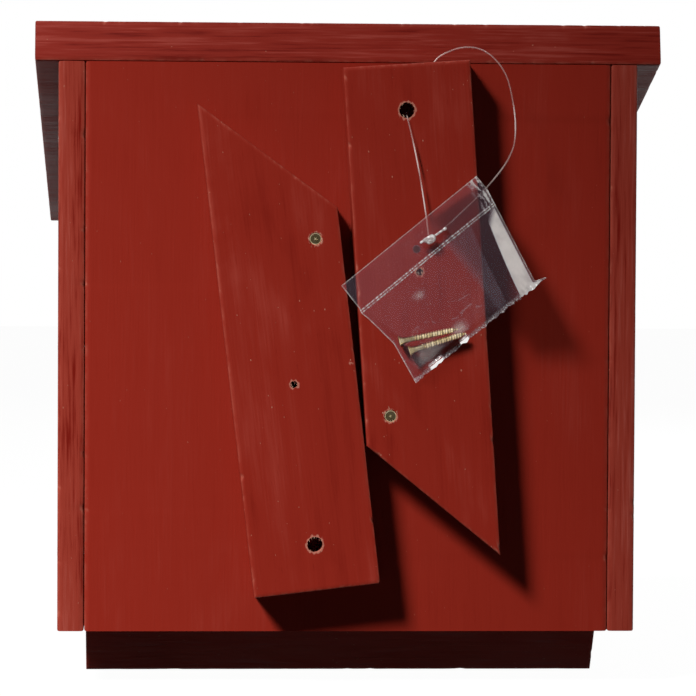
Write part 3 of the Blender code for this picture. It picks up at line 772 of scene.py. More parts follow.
class HOUSE_OT_stage(bpy.types.Operator):
    """Sets the camera, the lamps, the floor and the backdrop"""
    bl_idname = "house.stage"
    bl_label = "Stage"

    def execute(self, context):
        kept = set(frame["nodes"].values()) | set(frame["bodies"].values())
        for obj in list(bpy.data.objects):
            if obj not in kept:
                bpy.data.objects.remove(obj, do_unlink=True)
        settings = context.scene.house_stage
        self.camera(context)
        key_place = Vector(KEY_FROM) + Vector(KEY_DIRECTION).normalized() * settings.key_distance
        self.lamp("key_lamp", "SPOT", settings.key_power, key_place, KEY_AIM,
                  shadow_soft_size=settings.key_radius, spot_size=settings.key_cone, spot_blend=1.0)
        self.lamp("front_lamp", "AREA", settings.front_power, Vector(FRONT_LAMP_PLACE), FRONT_LAMP_AIM,
                  shape="DISK", size=FRONT_LAMP_SIZE)
        self.floor(settings)
        self.world(context, settings)
        context.scene.view_settings.view_transform = "Standard"
        return {"FINISHED"}

    def camera(self, context):
        yaw, pitch, roll = CAMERA_YAW, CAMERA_PITCH, CAMERA_ROLL
        ahead = Vector((math.sin(yaw) * math.cos(pitch), math.cos(yaw) * math.cos(pitch), math.sin(pitch)))
        level = Vector((math.cos(yaw), -math.sin(yaw), 0.0))
        down = ahead.cross(level)
        across = level * math.cos(roll) + down * math.sin(roll)
        up = level * math.sin(roll) - down * math.cos(roll)
        place = Matrix((across, up, -ahead)).transposed().to_4x4()
        place.translation = Vector(CAMERA_PLACE)
        data = bpy.data.cameras.new("camera")
        data.lens = CAMERA_LENS
        data.sensor_width = CAMERA_SENSOR
        data.clip_start = 0.05
        camera = linked("camera", data)
        camera.matrix_world = place
        context.scene.camera = camera

    def lamp(self, name, kind, power, place, aim, **settings):
        data = bpy.data.lights.new(name, kind)
        data.energy = power
        for key, value in settings.items():
            setattr(data, key, value)
        linked(name, data).matrix_world = along(place, place - Vector(aim))

    def floor(self, settings):
        """Bounces little light, so that shadows stay deep, and looks nearly white."""
        corners = [(x, y, 0.0) for x, y in rectangle(FLOOR_REACH, -FLOOR_REACH, FLOOR_REACH)]
        floor = mesh_piece("floor", corners, [(0, 1, 2, 3)])
        mat, tree, shader = new_material("pale_floor")
        looked_at = seen(tree)
        fill(shader, {
            "Base Color": mixed(looked_at, rgba(settings.floor), (0.04, 0.04, 0.04, 1.0)), "Roughness": 1.0,
            "Specular IOR Level": 0.0, "Emission Color": WHITE, "Emission Strength": looked_at * FLOOR_GLOW})
        floor.data.materials.append(mat)

    def world(self, context, settings):
        world = bpy.data.worlds.new("studio")
        world.use_nodes = True
        tree = world.node_tree
        inputs = {"Value": seen(tree), "To Min": settings.fill, "To Max": 1.0}
        strength = field(tree, "ShaderNodeMapRange", inputs)
        fill(tree.nodes["Background"], {"Color": WHITE, "Strength": strength})
        context.scene.world = world


class HOUSE_OT_loop(bpy.types.Operator):
    """Makes the nylon loop with its lock"""
    bl_idname = "house.loop"
    bl_label = "Nylon loop"

    def execute(self, context):
        points, length = smooth_route([(x, BACK + y, z) for x, y, z in LOOP_ROUTE], 240)
        curve = bpy.data.curves.new("nylon_loop", "CURVE")
        curve.dimensions = "3D"
        curve.bevel_depth = LOOP_DIAMETER / 2
        curve.bevel_resolution = 3
        curve.use_fill_caps = True
        spline = curve.splines.new("POLY")
        spline.points.add(len(points) - 1)
        for point, co in zip(spline.points, points):
            point.co = (*co, 1.0)
        loop = linked("nylon_loop", curve)
        belongs(loop, self.strand_material(), "batten_right", "clear_nylon", "tag_loop")
        lock = self.lock()
        mat = self.lock_material(context.scene.house_tag)
        belongs(lock, mat, "batten_right", "clear_nylon", "tag_lock")
        return {"FINISHED"}

    def strand_material(self):
        """Clear nylon, nearly unseen apart from painted highlights, where it is made more opaque."""
        mat, tree, shader = new_material("clear_nylon")
        coords = object_coords(tree)
        # Painted highlights: the nylon turns more opaque in noisy spots and round a few points of the route
        glints = rise(noise_at(coords, 34.0, 1.0), 0.52, 0.70) * 0.25
        for bright in LOOP_GLINTS:
            x, y, z = LOOP_ROUTE[bright]
            glints = glints.most(fade(distance(coords, (x, BACK + y, z)), 0.002, 0.011))
        fill(shader, {
            "Base Color": (0.84, 0.66, 0.62, 1.0), "Roughness": 0.15, "Alpha": glints * 0.60 + 0.13})
        return mat

    def lock_material(self, settings):
        mat, tree, shader = new_material("moulded_nylon")
        milky = rise(noise_at(object_coords(tree), 700.0, 2.0), 0.35, 0.65)
        fill(shader, {
            "Base Color": mixed(milky, (0.55, 0.48, 0.46, 1.0), rgba(settings.nylon)),
            "Alpha": milky * 0.35 + 0.42, "Roughness": 0.22})
        return mat

    def lock(self):
        """A small moulded housing with a stub at its left end, and a neck and a bead at its right."""
        x, y, z = LOCK_CENTRE
        place = Matrix.Translation((x, BACK + y, z)) @ Matrix.Rotation(-LOCK_LEAN, 4, "Y")
        bm = bmesh.new()
        blobs = [
            ((-0.0002, 0.0, -0.0005), (0.0056, 0.0029, 0.0043)),
            ((-0.0024, 0.0, 0.0006), (0.0028, 0.0022, 0.0024)),
            ((-0.0043, 0.0, 0.0010), (0.0028, 0.0012, 0.0013)),
            ((0.0050, 0.0003, -0.0003), (0.0066, 0.0010, 0.0011)),
            ((0.0088, 0.0004, -0.0004), (0.0021, 0.0016, 0.0017)),
        ]
        for centre, size in blobs:
            made = bmesh.ops.create_icosphere(bm, subdivisions=4, radius=0.5)
            for vert in made["verts"]:
                # Between a ball and a block, as a moulded part with round edges
                square = vert.co / max(abs(c) for c in vert.co) * 0.5
                vert.co = vert.co.lerp(square, 0.35)
            move = Matrix.Translation(centre) @ Matrix.Diagonal((*size, 1.0))
            bmesh.ops.transform(bm, matrix=move, verts=made["verts"])
        return smooth(bmesh_piece("loop_lock", bm, place), 60.0)


class HOUSE_OT_bag(bpy.types.Operator):
    """Makes the clear film bag with its grip seal and the two spare screws in it"""
    bl_idname = "house.bag"
    bl_label = "Film bag"

    def execute(self, context):
        mat = self.film_material(context.scene.house_tag)
        belongs(self.film(), mat, "batten_right", "bag_film", "screw_bag")
        place = bag_place()
        middle = BAG_FILM + SEAT_GAP + SCREW_HEAD / 2
        for name, (across, down, dip) in SPARE_SCREWS.items():
            run = place.to_3x3() @ Vector((math.cos(dip), -math.sin(dip), 0.0))
            head = along(place @ Vector((across, -down, middle)), -run)
            screw = countersunk_screw(context, f"{name}_threaded", head, *SMALL_SCREW)
            belongs(screw, plated_material(), "batten_right", "yellow_zinc", name)
        return {"FINISHED"}

    def film(self):
        """Two layers of film on one grid: u runs from 0 to 1 along the top edge, v from 0 to 1 down."""
        columns, rows = 110, 84
        u, v = np.meshgrid(np.linspace(0.0, 1.0, columns + 1), np.linspace(0.0, 1.0, rows + 1))
        x, y = u * BAG_WIDTH, v * BAG_HEIGHT
        soft, sharp = noise_grid(x, y, 2.0, 55.0, 55.0), noise_grid(x, y, 9.0, 210.0, 120.0)
        ripple = np.abs(0.0007 * soft + 0.00028 * sharp)
        jagged = noise_grid(x, y, 4.0, 420.0, 160.0)
        # The outline: drawn in at the lower right but for a frayed tip, a wavy left and a jagged lower edge
        drawn_in = 0.0132 * ramp(u, 0.60, 1.0) * np.maximum(0.0, v - 0.143)
        tip = 0.0062 * ramp(u, 0.955, 1.0) * ramp(v, 0.955, 1.0)
        wave = np.interp(v, (0.0, 0.24, 0.28, 0.34, 0.64, 1.0), (0.0, -0.0002, -0.0009, 0.0, 0.0021, -0.0018))
        flat_x = x - drawn_in + tip + wave * (1.0 - u) ** 2
        flat_y = -(y + 0.0011 * jagged * ramp(v, 0.985, 1.0))
        # The relief: a curl at the right, a belly round the screws, the seal's ridges and the crimped seam
        curl = 0.0065 * ramp(u, 0.62, 1.0) ** 1.3 * (0.25 + 0.75 * v)
        belly = 0.0056 * ramp(u, 0.0, 0.06) * ramp(u, 0.74, 0.40) * ramp(v, 0.26, 0.66) * ramp(v, 1.0, 0.91)
        seal = sum(0.0003 * np.exp(-((y - ridge) / 0.00035) ** 2) for ridge in SEAL_RIDGES)
        common = curl + 0.0008 * jagged * ramp(v, 0.90, 0.98)
        opened = ramp(u, 0.0, 0.04) * ramp(u, 1.0, 0.96) * ramp(v, 1.0, 0.95)
        front = common + 0.0011 + (belly + ripple + seal) * opened
        back = common + 0.0003 + 0.25 * ripple * opened
        # Both layers meet along the welded edges, but not at the open top
        closed = (1.0 - opened) * (v > 0.02)
        front = front * (1 - closed) + (common + 0.0008) * closed
        back = back * (1 - closed) + (common + 0.0006) * closed
        vertices, faces = [], []
        for height, turn in ((front, 1), (back, -1)):
            base = len(vertices)
            vertices += list(np.column_stack([flat_x.ravel(), flat_y.ravel(), height.ravel()]))
            for row in range(rows):
                for column in range(columns):
                    a = base + row * (columns + 1) + column
                    faces.append((a, a + columns + 1, a + columns + 2, a + 1)[::turn])
        bag = mesh_piece("film_bag", vertices, faces, bag_place())
        flat = np.tile(np.column_stack([u.ravel(), v.ravel()]), (2, 1))
        loops = np.zeros(len(bag.data.loops), np.int32)
        bag.data.loops.foreach_get("vertex_index", loops)
        uv = bag.data.uv_layers.new(name="film")
        uv.data.foreach_set("uv", flat[loops].astype(np.float32).ravel())
        bag.data.shade_smooth()
        return bag

    def film_material(self, settings):
        """Clear film: a thin veil, and pale marks on its edges, folds, seal and seam, partly their own
        thicker film and partly painted highlights.
        """
        mat, tree, shader = new_material("clear_film")
        uv = field(tree, "ShaderNodeUVMap", uv_map="film")
        u, v, _ = split(uv)
        broken = rise(noise_at(uv, (70.0, 12.0, 0.0), 2.0), 0.42, 0.60)
        sparkle = rise(noise_at(uv, (160.0, 60.0, 0.0), 2.0), 0.52, 0.66)
        cloudy = rise(noise_at(uv, (9.0, 5.0, 0.0)), 0.25, 0.65)
        below_seal = rise(v, 0.262, 0.300)
        bottom = rise(v, 0.955, 0.985)
        # The seal's two ridges: pale film, with painted highlights broken along them
        ridges = highest(fade(abs(v - line), 0.003, 0.008) for line in (0.258, 0.277)) * (broken * 0.6 + 0.4)
        side_line = fade(u.least(1.0 - u), 0.003, 0.010)
        # The bottom seam shows a little all along, and painted glints from the sparkle noise brighten it in
        # stretches
        bottom_line = bottom * (sparkle * 0.75 + 0.25)
        edge = highest([side_line, fade(v, 0.003, 0.011), bottom_line])
        # Painted highlight: a pale band on the stretch at the right, where the film turns up into the light
        shine = rise(v * 0.1087 + u, 0.949, 0.957) * fade(u, 0.980, 0.992)
        shine = shine * (below_seal * rise(u * 1.2 + v, 1.42, 1.52)) * (cloudy * 0.22 + 0.78)
        # A second fold beside it, and the crumpled corner above the seal
        ply = fade(v * 0.158 + u, 0.848, 0.856) * rise(u, 0.60, 0.64) * below_seal
        crumple = rise(noise_at(uv, (60.0, 14.0, 0.0)), 0.44, 0.62)
        corner = rise(u, 0.90, 0.97) * (1.0 - below_seal) * crumple
        near_screws = rise(v, 0.55, 0.75) * fade(u, 0.5, 0.65)
        crease = rise(noise_at(uv, (16.0, 40.0, 0.0), 4.0, 1.2), 0.60, 0.70) * (near_screws * 0.26 + 0.05)
        # Painted light: soft pale patches that brighten the film over the screws, by the left edge and higher
        # up, each with its centre and reach
        patches = (((0.373, 0.880, 0.0), 0.085), ((0.145, 0.875, 0.0), 0.150), ((0.30, 0.46, 0.0), 0.06))
        painted_light_patches = highest(fade(distance(uv, centre), 0.0, reach) for centre, reach in patches) * cloudy
        # Painted highlight: two stretches of the seam and its frayed tip are painted white and mirror-like,
        # so that they throw the white surroundings back
        stretches = ((0.16, 0.055), (0.36, 0.035))
        painted_seam_glint = highest(fade(abs(u - middle), half * 0.7, half) for middle, half in stretches)
        painted_seam_glint = (painted_seam_glint * rise(v, 0.945, 0.965)).most(rise(u, 0.93, 0.96) * (bottom * sparkle))
        marks = [
            (ridges, 0.42), (edge, broken * 0.16 + 0.10), (bottom_line, 0.45), (painted_light_patches, 0.20), (painted_seam_glint, 0.80),
            (shine, 0.72), (ply, 0.07), (corner, 0.50), (crease, 0.6),
        ]
        alpha = settings.veil
        for mark, weight in marks:
            alpha = mark * weight + alpha
        pale = highest([ridges, edge, shine, crease, corner, painted_light_patches])
        colour = mixed(pale, rgba(settings.film), (0.66, 0.61, 0.58, 1.0))
        colour = mixed(painted_seam_glint, colour, (0.88, 0.87, 0.86, 1.0))
        # The bag's small punched air hole under the top edge, painted as a dark, more opaque spot
        hole = (AIR_HOLE[0] / BAG_WIDTH, AIR_HOLE[1] / BAG_HEIGHT, 0.0)
        punched = fade(distance(uv, hole, (BAG_WIDTH, BAG_HEIGHT, 0.0)), 0.0014, 0.0026)
        colour = mixed(punched, colour, (0.030, 0.012, 0.018, 1.0))
        alpha = alpha.clamped().most(punched * 0.55)
        # The curled stretch stands off the boards and scatters the light that would pass it
        shade = rise(u, 0.60, 0.70) * 0.36 + 0.05
        shadow_ray = field(tree, "ShaderNodeLightPath", output="Is Shadow Ray")
        fill(shader, {
            "Base Color": colour, "Metallic": painted_seam_glint, "Roughness": 0.14,
            "Alpha": alpha + (shade - alpha) * shadow_ray})
        return mat


def geometry_group(name, inputs):
    """An empty Geometry Nodes tree that takes and gives a geometry."""
    inputs = [("Geometry", "Geometry", None), *inputs]
    return node_group(name, "GeometryNodeTree", inputs, [("Geometry", "Geometry")])


def end_with(made, geometry, mat):
    """Realizes the instances, sets the material and gives the result out."""
    real = field(geometry.tree, "GeometryNodeRealizeInstances", {0: geometry})
    fill(made, {0: field(geometry.tree, "GeometryNodeSetMaterial", {"Geometry": real, "Material": mat})})


def random_number(seed, low, high):
    """A random number of each point."""
    return field(seed.tree, "FunctionNodeRandomValue", {2: low, 3: high, "Seed": seed}, 1, data_type="FLOAT")


def random_vector(seed, low, high):
    """A random vector of each point."""
    inputs = {0: low, 1: high, "Seed": seed}
    return field(seed.tree, "FunctionNodeRandomValue", inputs, data_type="FLOAT_VECTOR")


def nodes_modifier(obj, tree, values):
    """Gives an object a Geometry Nodes modifier with its inputs set, and makes the result a plain mesh."""
    modifier = obj.modifiers.new(tree.name, "NODES")
    modifier.node_group = tree
    for item in tree.interface.items_tree:
        if item.item_type == "SOCKET" and item.in_out == "INPUT" and item.name in values:
            modifier[item.identifier] = values[item.name]
    return plain_mesh(obj)


@shared("node_groups", "screw_thread")
def screw_thread(name):
    """Geometry Nodes: a thread that winds round a screw's shank down to its point."""
    tree, given, made = geometry_group(name, [
        ("Shank", "Distance", 0.0015), ("Thread", "Distance", 0.0005), ("Pitch", "Distance", 0.00135),
        ("Length", "Distance", 0.020), ("Tip", "Distance", 0.003), ("Plating", "Material", None)])
    spiral = field(tree, "GeometryNodeCurveSpiral", {
        "Resolution": 22, "Rotations": given["Length"] / given["Pitch"], "Start Radius": given["Shank"],
        "End Radius": given["Shank"], "Height": given["Length"]})
    place = field(tree, "GeometryNodeInputPosition")
    taper = field(tree, "ShaderNodeMapRange", {
        "Value": split(place)[2], "From Min": 0.0, "From Max": given["Tip"], "To Min": 0.12, "To Max": 1.0})
    narrow = field(tree, "ShaderNodeCombineXYZ", {0: taper, 1: taper, 2: 1.0})
    tapered = field(tree, "GeometryNodeSetPosition", {
        "Geometry": spiral, "Position": vectors("MULTIPLY", place, narrow)})
    profile = field(tree, "GeometryNodeCurvePrimitiveCircle", {"Resolution": 3, "Radius": given["Thread"]})
    ridge = field(tree, "GeometryNodeCurveToMesh", {
        "Curve": tapered, "Profile Curve": profile, "Fill Caps": True})
    joined = put(tree, "GeometryNodeJoinGeometry", {0: given["Geometry"]})
    fill(joined, {0: ridge})
    end_with(made, Field(joined.outputs[0]), given["Plating"])
    return tree


def turned_piece(name, profile, sides=40):
    """A closed turned shape about Z; the profile holds radius and height, from the top to the bottom."""
    bm = bmesh.new()
    turns = [2 * math.pi * k / sides for k in range(sides)]
    rings = []
    for radius, height in profile:
        ring = turns if radius else turns[:1]
        rings.append([bm.verts.new((radius * math.cos(t), radius * math.sin(t), height)) for t in ring])
    for upper, lower in zip(rings, rings[1:]):
        for k in range(sides):
            after = (k + 1) % sides
            corners = [upper[k % len(upper)], lower[k % len(lower)], lower[after % len(lower)],
                       upper[after % len(upper)]]
            bm.faces.new(list(dict.fromkeys(corners)))
    return bmesh_piece(name, bm)


BOX_FACES = [(3, 2, 1, 0), (4, 5, 6, 7), (0, 1, 5, 4), (1, 2, 6, 5), (2, 3, 7, 6), (3, 0, 4, 7)]


def recess_wing(head, turn):
    """The cutter of one wing of a cross recess, which narrows towards the bottom."""
    wide, narrow, deep = 0.27 * head, 0.07 * head, 0.24 * head
    vertices = []
    for height, taper in ((-deep, 0.45), (deep, 1.0)):
        vertices += [(x * wide * taper, y * narrow * taper, height) for x, y in rectangle(1, -1, 1)]
    return mesh_piece("recess", vertices, BOX_FACES, Matrix.Rotation(turn, 4, "Z"))


@shared("materials", "zinc_plating")
def plated_material(name):
    """Yellow zinc: a warm metal, bright on the ridges and rims, with painted shade that darkens the head's
    face, its recess, the shank and the head's cone to olive.
    """
    mat, tree, shader = new_material(name)
    coords = object_coords(tree)
    plating = rgba(bpy.context.scene.house_screw.plating)
    colour = mixed(rise(noise_at(coords, 420.0), 0.35, 0.65), (0.60, 0.47, 0.25, 1.0), plating)
    # Painted shade: a dark olive mixed in where each screw carries its painted darkness
    fill(shader, {
        "Base Color": mixed(attribute(tree, "painted_shade"), colour, (0.026, 0.018, 0.006, 1.0)), "Metallic": 1.0,
        "Roughness": noise_at(coords, 1500.0, 2.0) * 0.3 + 0.16})
    return mat


def countersunk_screw(context, name, place, head, head_depth, shank, length, tip):
    """A countersunk screw along the place's -Z, its head's rim at zero, with a wound thread."""
    settings = context.scene.house_screw
    core = shank / 2 - settings.thread * 0.45
    profile = [
        (0.0, 0.0), (head * 0.42, 0.0), (head * 0.475, -0.00008), (head / 2, -0.0003), (head * 0.47, -0.0005),
        (shank * 0.56, -head_depth), (shank * 0.5, -head_depth - 0.001), (core, -head_depth - 0.0025),
        (core, -length + tip), (core * 0.25, -length + 0.0002), (0.0, -length),
    ]
    screw = turned_piece(name, profile)
    drill(screw, [recess_wing(head, 0.0), recess_wing(head, math.pi / 2)])
    spots = np.zeros(len(screw.data.vertices) * 3, np.float32)
    screw.data.vertices.foreach_get("co", spots)
    x, y, z = spots.reshape(-1, 3).T
    off = np.hypot(x, y)
    # Painted shade: how dark each spot is painted, on the head's face, its recess, the shank and the head's
    # cone
    painted_shade = np.where((off < 0.44 * head) & (z > -0.00005), 0.95, 0.0)
    painted_shade = np.where((off < 0.30 * head) & (z < -0.0001), 0.45, painted_shade)
    painted_shade = np.where(z < -head_depth, 0.66, painted_shade)
    painted_shade = np.where((off > 0.26 * head) & (z < -0.0004) & (z >= -head_depth), 0.45, painted_shade)
    carry(screw, "painted_shade", painted_shade)
    # The thread starts at the point, which stands at zero while it is wound
    screw.data.transform(Matrix.Translation((0.0, 0.0, length)))
    nodes_modifier(screw, screw_thread(), {
        "Shank": core, "Thread": settings.thread, "Pitch": settings.pitch,
        "Length": length - head_depth - 0.0055,
        "Tip": tip, "Plating": plated_material()})
    screw.data.transform(shifted(place, z=-length))
    return smooth(screw, 40.0)


def roof_screw_places():
    """Places of the roof screws' heads, square to the roof."""
    up = Vector((0.0, math.sin(ROOF_SLOPE), math.cos(ROOF_SLOPE)))
    run = Vector((0.0, math.cos(ROOF_SLOPE), -math.sin(ROOF_SLOPE)))
    top = Vector((0.0, BACK, SIDE_TOP_BACK)) + up * (ROOF_THICKNESS - SCREW_SINK)
    places = []
    for side in (-1, 1):
        for step in range(2):
            point = top + run * (ROOF_SCREW_FROM_BACK + step * ROOF_SCREW_SPACING)
            point.x = side * (BODY_WIDTH / 2 - BOARD_THICKNESS / 2)
            places.append(along(point, up))
    return places


class HOUSE_OT_screws(bpy.types.Operator):
    """Makes the battens' screws and the roof's screws"""
    bl_idname = "house.screws"
    bl_label = "Screws"

    def execute(self, context):
        mat = plated_material()
        for side, turn in RECESS_TURNS.items():
            head = shifted(batten_place(side), z=BATTEN_THICKNESS / 2 - SCREW_SINK)
            place = head @ Matrix.Rotation(turn, 4, "Z")
            screw = countersunk_screw(context, f"pivot_screw_{side}", place, *SMALL_SCREW)
            belongs(screw, mat, "root", "yellow_zinc", f"batten_screw_{side}")
        for number, place in enumerate(roof_screw_places(), 1):
            screw = countersunk_screw(context, f"roof_screw_{number}_threaded", place, *ROOF_SCREW)
            belongs(screw, mat, "root", "yellow_zinc", f"roof_screw_{number}")
        return {"FINISHED"}


class HOUSE_OT_boards(bpy.types.Operator):
    """Makes the side boards, the back panel and the roof board"""
    bl_idname = "house.boards"
    bl_label = "Boards"

    def execute(self, context):
        wood = context.scene.house_wood
        edges = {"rounding": wood.rounding, "wear": wood.wear}
        tints = {"Stain": (1.10, 1.9, 2.2), "Pale": (1.05, 1.5, 1.6)}
        look = tinted(wood_look(context, Fibres=0.65, Streaks=0.6), tints)
        for name, seed, sign in (("side_board_left", 2.0, -1), ("side_board_right", 5.0, 1)):
            x = sign * (BODY_WIDTH - BOARD_THICKNESS) / 2
            self.upright(name, seed, x, BODY_DEPTH, BOARD_THICKNESS, look, edges)
        low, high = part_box("back_panel")
        look = wood_look(context, Fibres=0.16, Streaks=0.13, Clouds=0.20, Specks=0.35)
        self.upright("back_panel", 8.0, 0.0, BOARD_THICKNESS, high.x - low.x, look, edges)
        self.roof(context, edges)
        return {"FINISHED"}

    def upright(self, name, seed, x, depth, thickness, look, edges):
        """A board that stands on its end below the sloping roof; its thickness runs across."""
        top = SIDE_TOP_BACK - SEAT_GAP / math.cos(ROOF_SLOPE)
        corners = [(0.0, FOOT), (depth, FOOT), (depth, top - depth * math.tan(ROOF_SLOPE)), (0.0, top)]
        place = axes((x, BACK, 0.0), (0, 1, 0), (0, 0, 1))
        board = sawn_board(name + "_sawn", corners, thickness, place, seed, **edges)
        mat = wood_material(name + "_wood", grain_along_y(place), look, seed)
        belongs(smooth(board), mat, "root", "board_stain", name)

    def roof(self, context, edges):
        seed = 13.0
        corners = rectangle(ROOF_WIDTH / 2, 0.0, ROOF_REACH / math.cos(ROOF_SLOPE))
        up = Vector((0.0, math.sin(ROOF_SLOPE), math.cos(ROOF_SLOPE)))
        centre = Vector((0.0, BACK, SIDE_TOP_BACK)) + up * (ROOF_THICKNESS / 2)
        place = axes(centre, (1, 0, 0), (0.0, math.cos(ROOF_SLOPE), -math.sin(ROOF_SLOPE)))
        roof = sawn_board("roof_board_sawn", corners, ROOF_THICKNESS, place, seed, **edges)
        mouth = (ROOF_SCREW_HEAD / 2 + SEAT_GAP, ROOF_SCREW_HEAD_DEPTH)
        bore = ROOF_SCREW_SHANK / 2 + SEAT_GAP
        drill(roof, [round_cutter(spot, bore, -0.05, 0.0, mouth) for spot in roof_screw_places()])
        look = wood_look(context, Fibres=0.8, Streaks=0.75, Clouds=0.5)
        look = tinted(look, dict.fromkeys(("Stain", "Pale", "Dark"), (0.80, 0.84, 0.90)))
        mat = wood_material("roof_board_wood", place, look, seed)
        belongs(smooth(roof), mat, "root", "roof_stain", "roof_board")


class HOUSE_OT_slats(bpy.types.Operator):
    """Makes the louvre slats of the floor and the front"""
    bl_idname = "house.slats"
    bl_label = "Slats"

    def execute(self, context):
        wood = context.scene.house_wood
        up_along = Vector((0.0, -math.cos(SLAT_SLOPE), math.sin(SLAT_SLOPE)))
        kinds = (("floor_slat", 5, FLOOR_SLAT_WIDTH, 20.0), ("front_slat", 4, FRONT_SLAT_WIDTH, 27.0))
        for label, count, width, first_seed in kinds:
            for number in range(1, count + 1):
                node = f"{label}_{number}"
                low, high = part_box(node)
                place = axes((low + high) / 2, (1, 0, 0), up_along)
                corners = rectangle((high.x - low.x) / 2, -width / 2, width / 2)
                seed = first_seed + number
                slat = sawn_board(
                    node + "_sawn", corners, SLAT_THICKNESS, place, seed, 0.003, wood.rounding, wood.wear)
                mat = wood_material(node + "_wood", place, wood_look(context, Fibres=0.6, Streaks=0.6), seed)
                belongs(smooth(slat), mat, "root", "slat_stain", node)
        return {"FINISHED"}


class HOUSE_OT_battens(bpy.types.Operator):
    """Makes the two mounting battens with their holes and torn fibres"""
    bl_idname = "house.battens"
    bl_label = "Mounting battens"

    def execute(self, context):
        wood = context.scene.house_wood
        half = BATTEN_THICKNESS / 2
        inner = PIVOT_FROM_EDGE
        outer = PIVOT_FROM_EDGE - BATTEN_WIDTH
        tip = PIVOT_FROM_BEVEL + BATTEN_BEVEL_DROP
        tail = tip - BATTEN_LENGTH
        corners = [(inner, tail), (inner, PIVOT_FROM_BEVEL), (outer, tip), (outer, tail)]
        middle = (inner + outer) / 2
        look = wood_look(context, Fibres=0.18, Streaks=0.14, Clouds=0.50, Specks=0.9, Figure=0.04)
        mouth = (SCREW_HEAD / 2 + SEAT_GAP, SCREW_HEAD_DEPTH)
        for side, seed in (("left", 31.0), ("right", 37.0)):
            place = batten_place(side)
            batten = sawn_board(f"batten_{side}_sawn", corners, BATTEN_THICKNESS, place, seed, 0.0011,
                                wood.rounding * 0.8, wood.wear * 1.3)
            hang = shifted(place, middle + HANG_HOLE_INWARDS, -HANG_HOLE_FROM_PIVOT)
            lock = shifted(place, middle, -LOCK_HOLE_FROM_PIVOT)
            drill(batten, [
                round_cutter(hang, HANG_HOLE_BORE / 2, -0.02, 0.02),
                round_cutter(lock, LOCK_HOLE_BORE / 2, -0.02, 0.02),
                round_cutter(place, SCREW_SHANK / 2 + SEAT_GAP, -0.02, half - SCREW_SINK, mouth),
            ])
            grain = grain_along_y(place)
            to_grain = grain.inverted()
            spots = ((hang, HANG_HOLE_BORE / 2), (lock, LOCK_HOLE_BORE / 2), (place, SCREW_HEAD / 2))
            rims = [(to_grain @ spot.to_translation(), radius) for spot, radius in spots]
            if side == "left":
                x, z = WORN_SPOT
                rims.append((to_grain @ Vector((x, place.translation.y, z)), SEAT_GAP))
            mat = wood_material(f"batten_{side}_wood", grain, look, seed, rims)
            belongs(smooth(batten), mat, f"batten_{side}", "batten_stain", f"mounting_batten_{side}")
            fibres = (("screw", place, SCREW_HEAD / 2 + SEAT_GAP, 17), ("lock", lock, LOCK_HOLE_BORE / 2, 11),
                      ("hang", hang, HANG_HOLE_BORE / 2, 15))
            for number, (kind, spot, radius, count) in enumerate(fibres):
                self.torn(side, kind, shifted(spot, z=half), radius, count, int(seed) + number)
        return {"FINISHED"}

    def torn(self, side, kind, spot, radius, count, seed):
        """Torn fibres round one hole, which stand up a little from the face."""
        obj = mesh_piece(f"torn_fibres_{kind}_{side}", [], [])
        mat = raw_wood_material()
        nodes_modifier(obj, torn_fibres(), {
            "Radius": radius, "Count": count, "Length": 0.0016, "Seed": seed, "Raw wood": mat})
        obj.data.transform(spot)
        belongs(obj, mat, f"batten_{side}", "batten_stain")


@shared("materials", "raw_fibres")
def raw_wood_material(name):
    """Unstained fibres, pale where they tore."""
    mat, tree, shader = new_material(name)
    tint = rise(noise_at(object_coords(tree), 900.0, 2.0), 0.38, 0.62)
    fill(shader, {
        "Base Color": mixed(tint, (0.36, 0.10, 0.065, 1.0), (0.66, 0.44, 0.30, 1.0)), "Roughness": 0.7})
    return mat


@shared("node_groups", "torn_fibres")
def torn_fibres(name):
    """Geometry Nodes: splinters that stand round a hole's rim."""
    tree, given, made = geometry_group(name, [
        ("Radius", "Distance", 0.004), ("Count", "Int", 20), ("Length", "Distance", 0.0016), ("Seed",
        "Int", 1),
        ("Raw wood", "Material", None)])
    seed = given["Seed"]
    rim = field(tree, "GeometryNodeMeshCircle", {"Vertices": given["Count"], "Radius": given["Radius"]})
    jitter = random_vector(seed, (-0.0007, -0.0007, -0.0001), (0.0007, 0.0007, 0.00005))
    spots = field(tree, "GeometryNodeSetPosition", {"Geometry": rim, "Offset": jitter})
    splinter = field(tree, "GeometryNodeMeshCone", {
        "Vertices": 4, "Radius Top": 0.00003, "Radius Bottom": 0.00016, "Depth": given["Length"]})
    # Most fibres lie along the grain, a little raised
    turn = random_vector(seed, (1.25, -0.45, -0.45), (1.75, 0.45, 0.45))
    size = random_vector(seed, (0.4, 0.4, 0.2), (1.6, 1.2, 1.0))
    placed = field(tree, "GeometryNodeInstanceOnPoints", {
        "Points": spots, "Instance": splinter, "Rotation": turn, "Scale": size})
    end_with(made, placed, given["Raw wood"])
    return tree


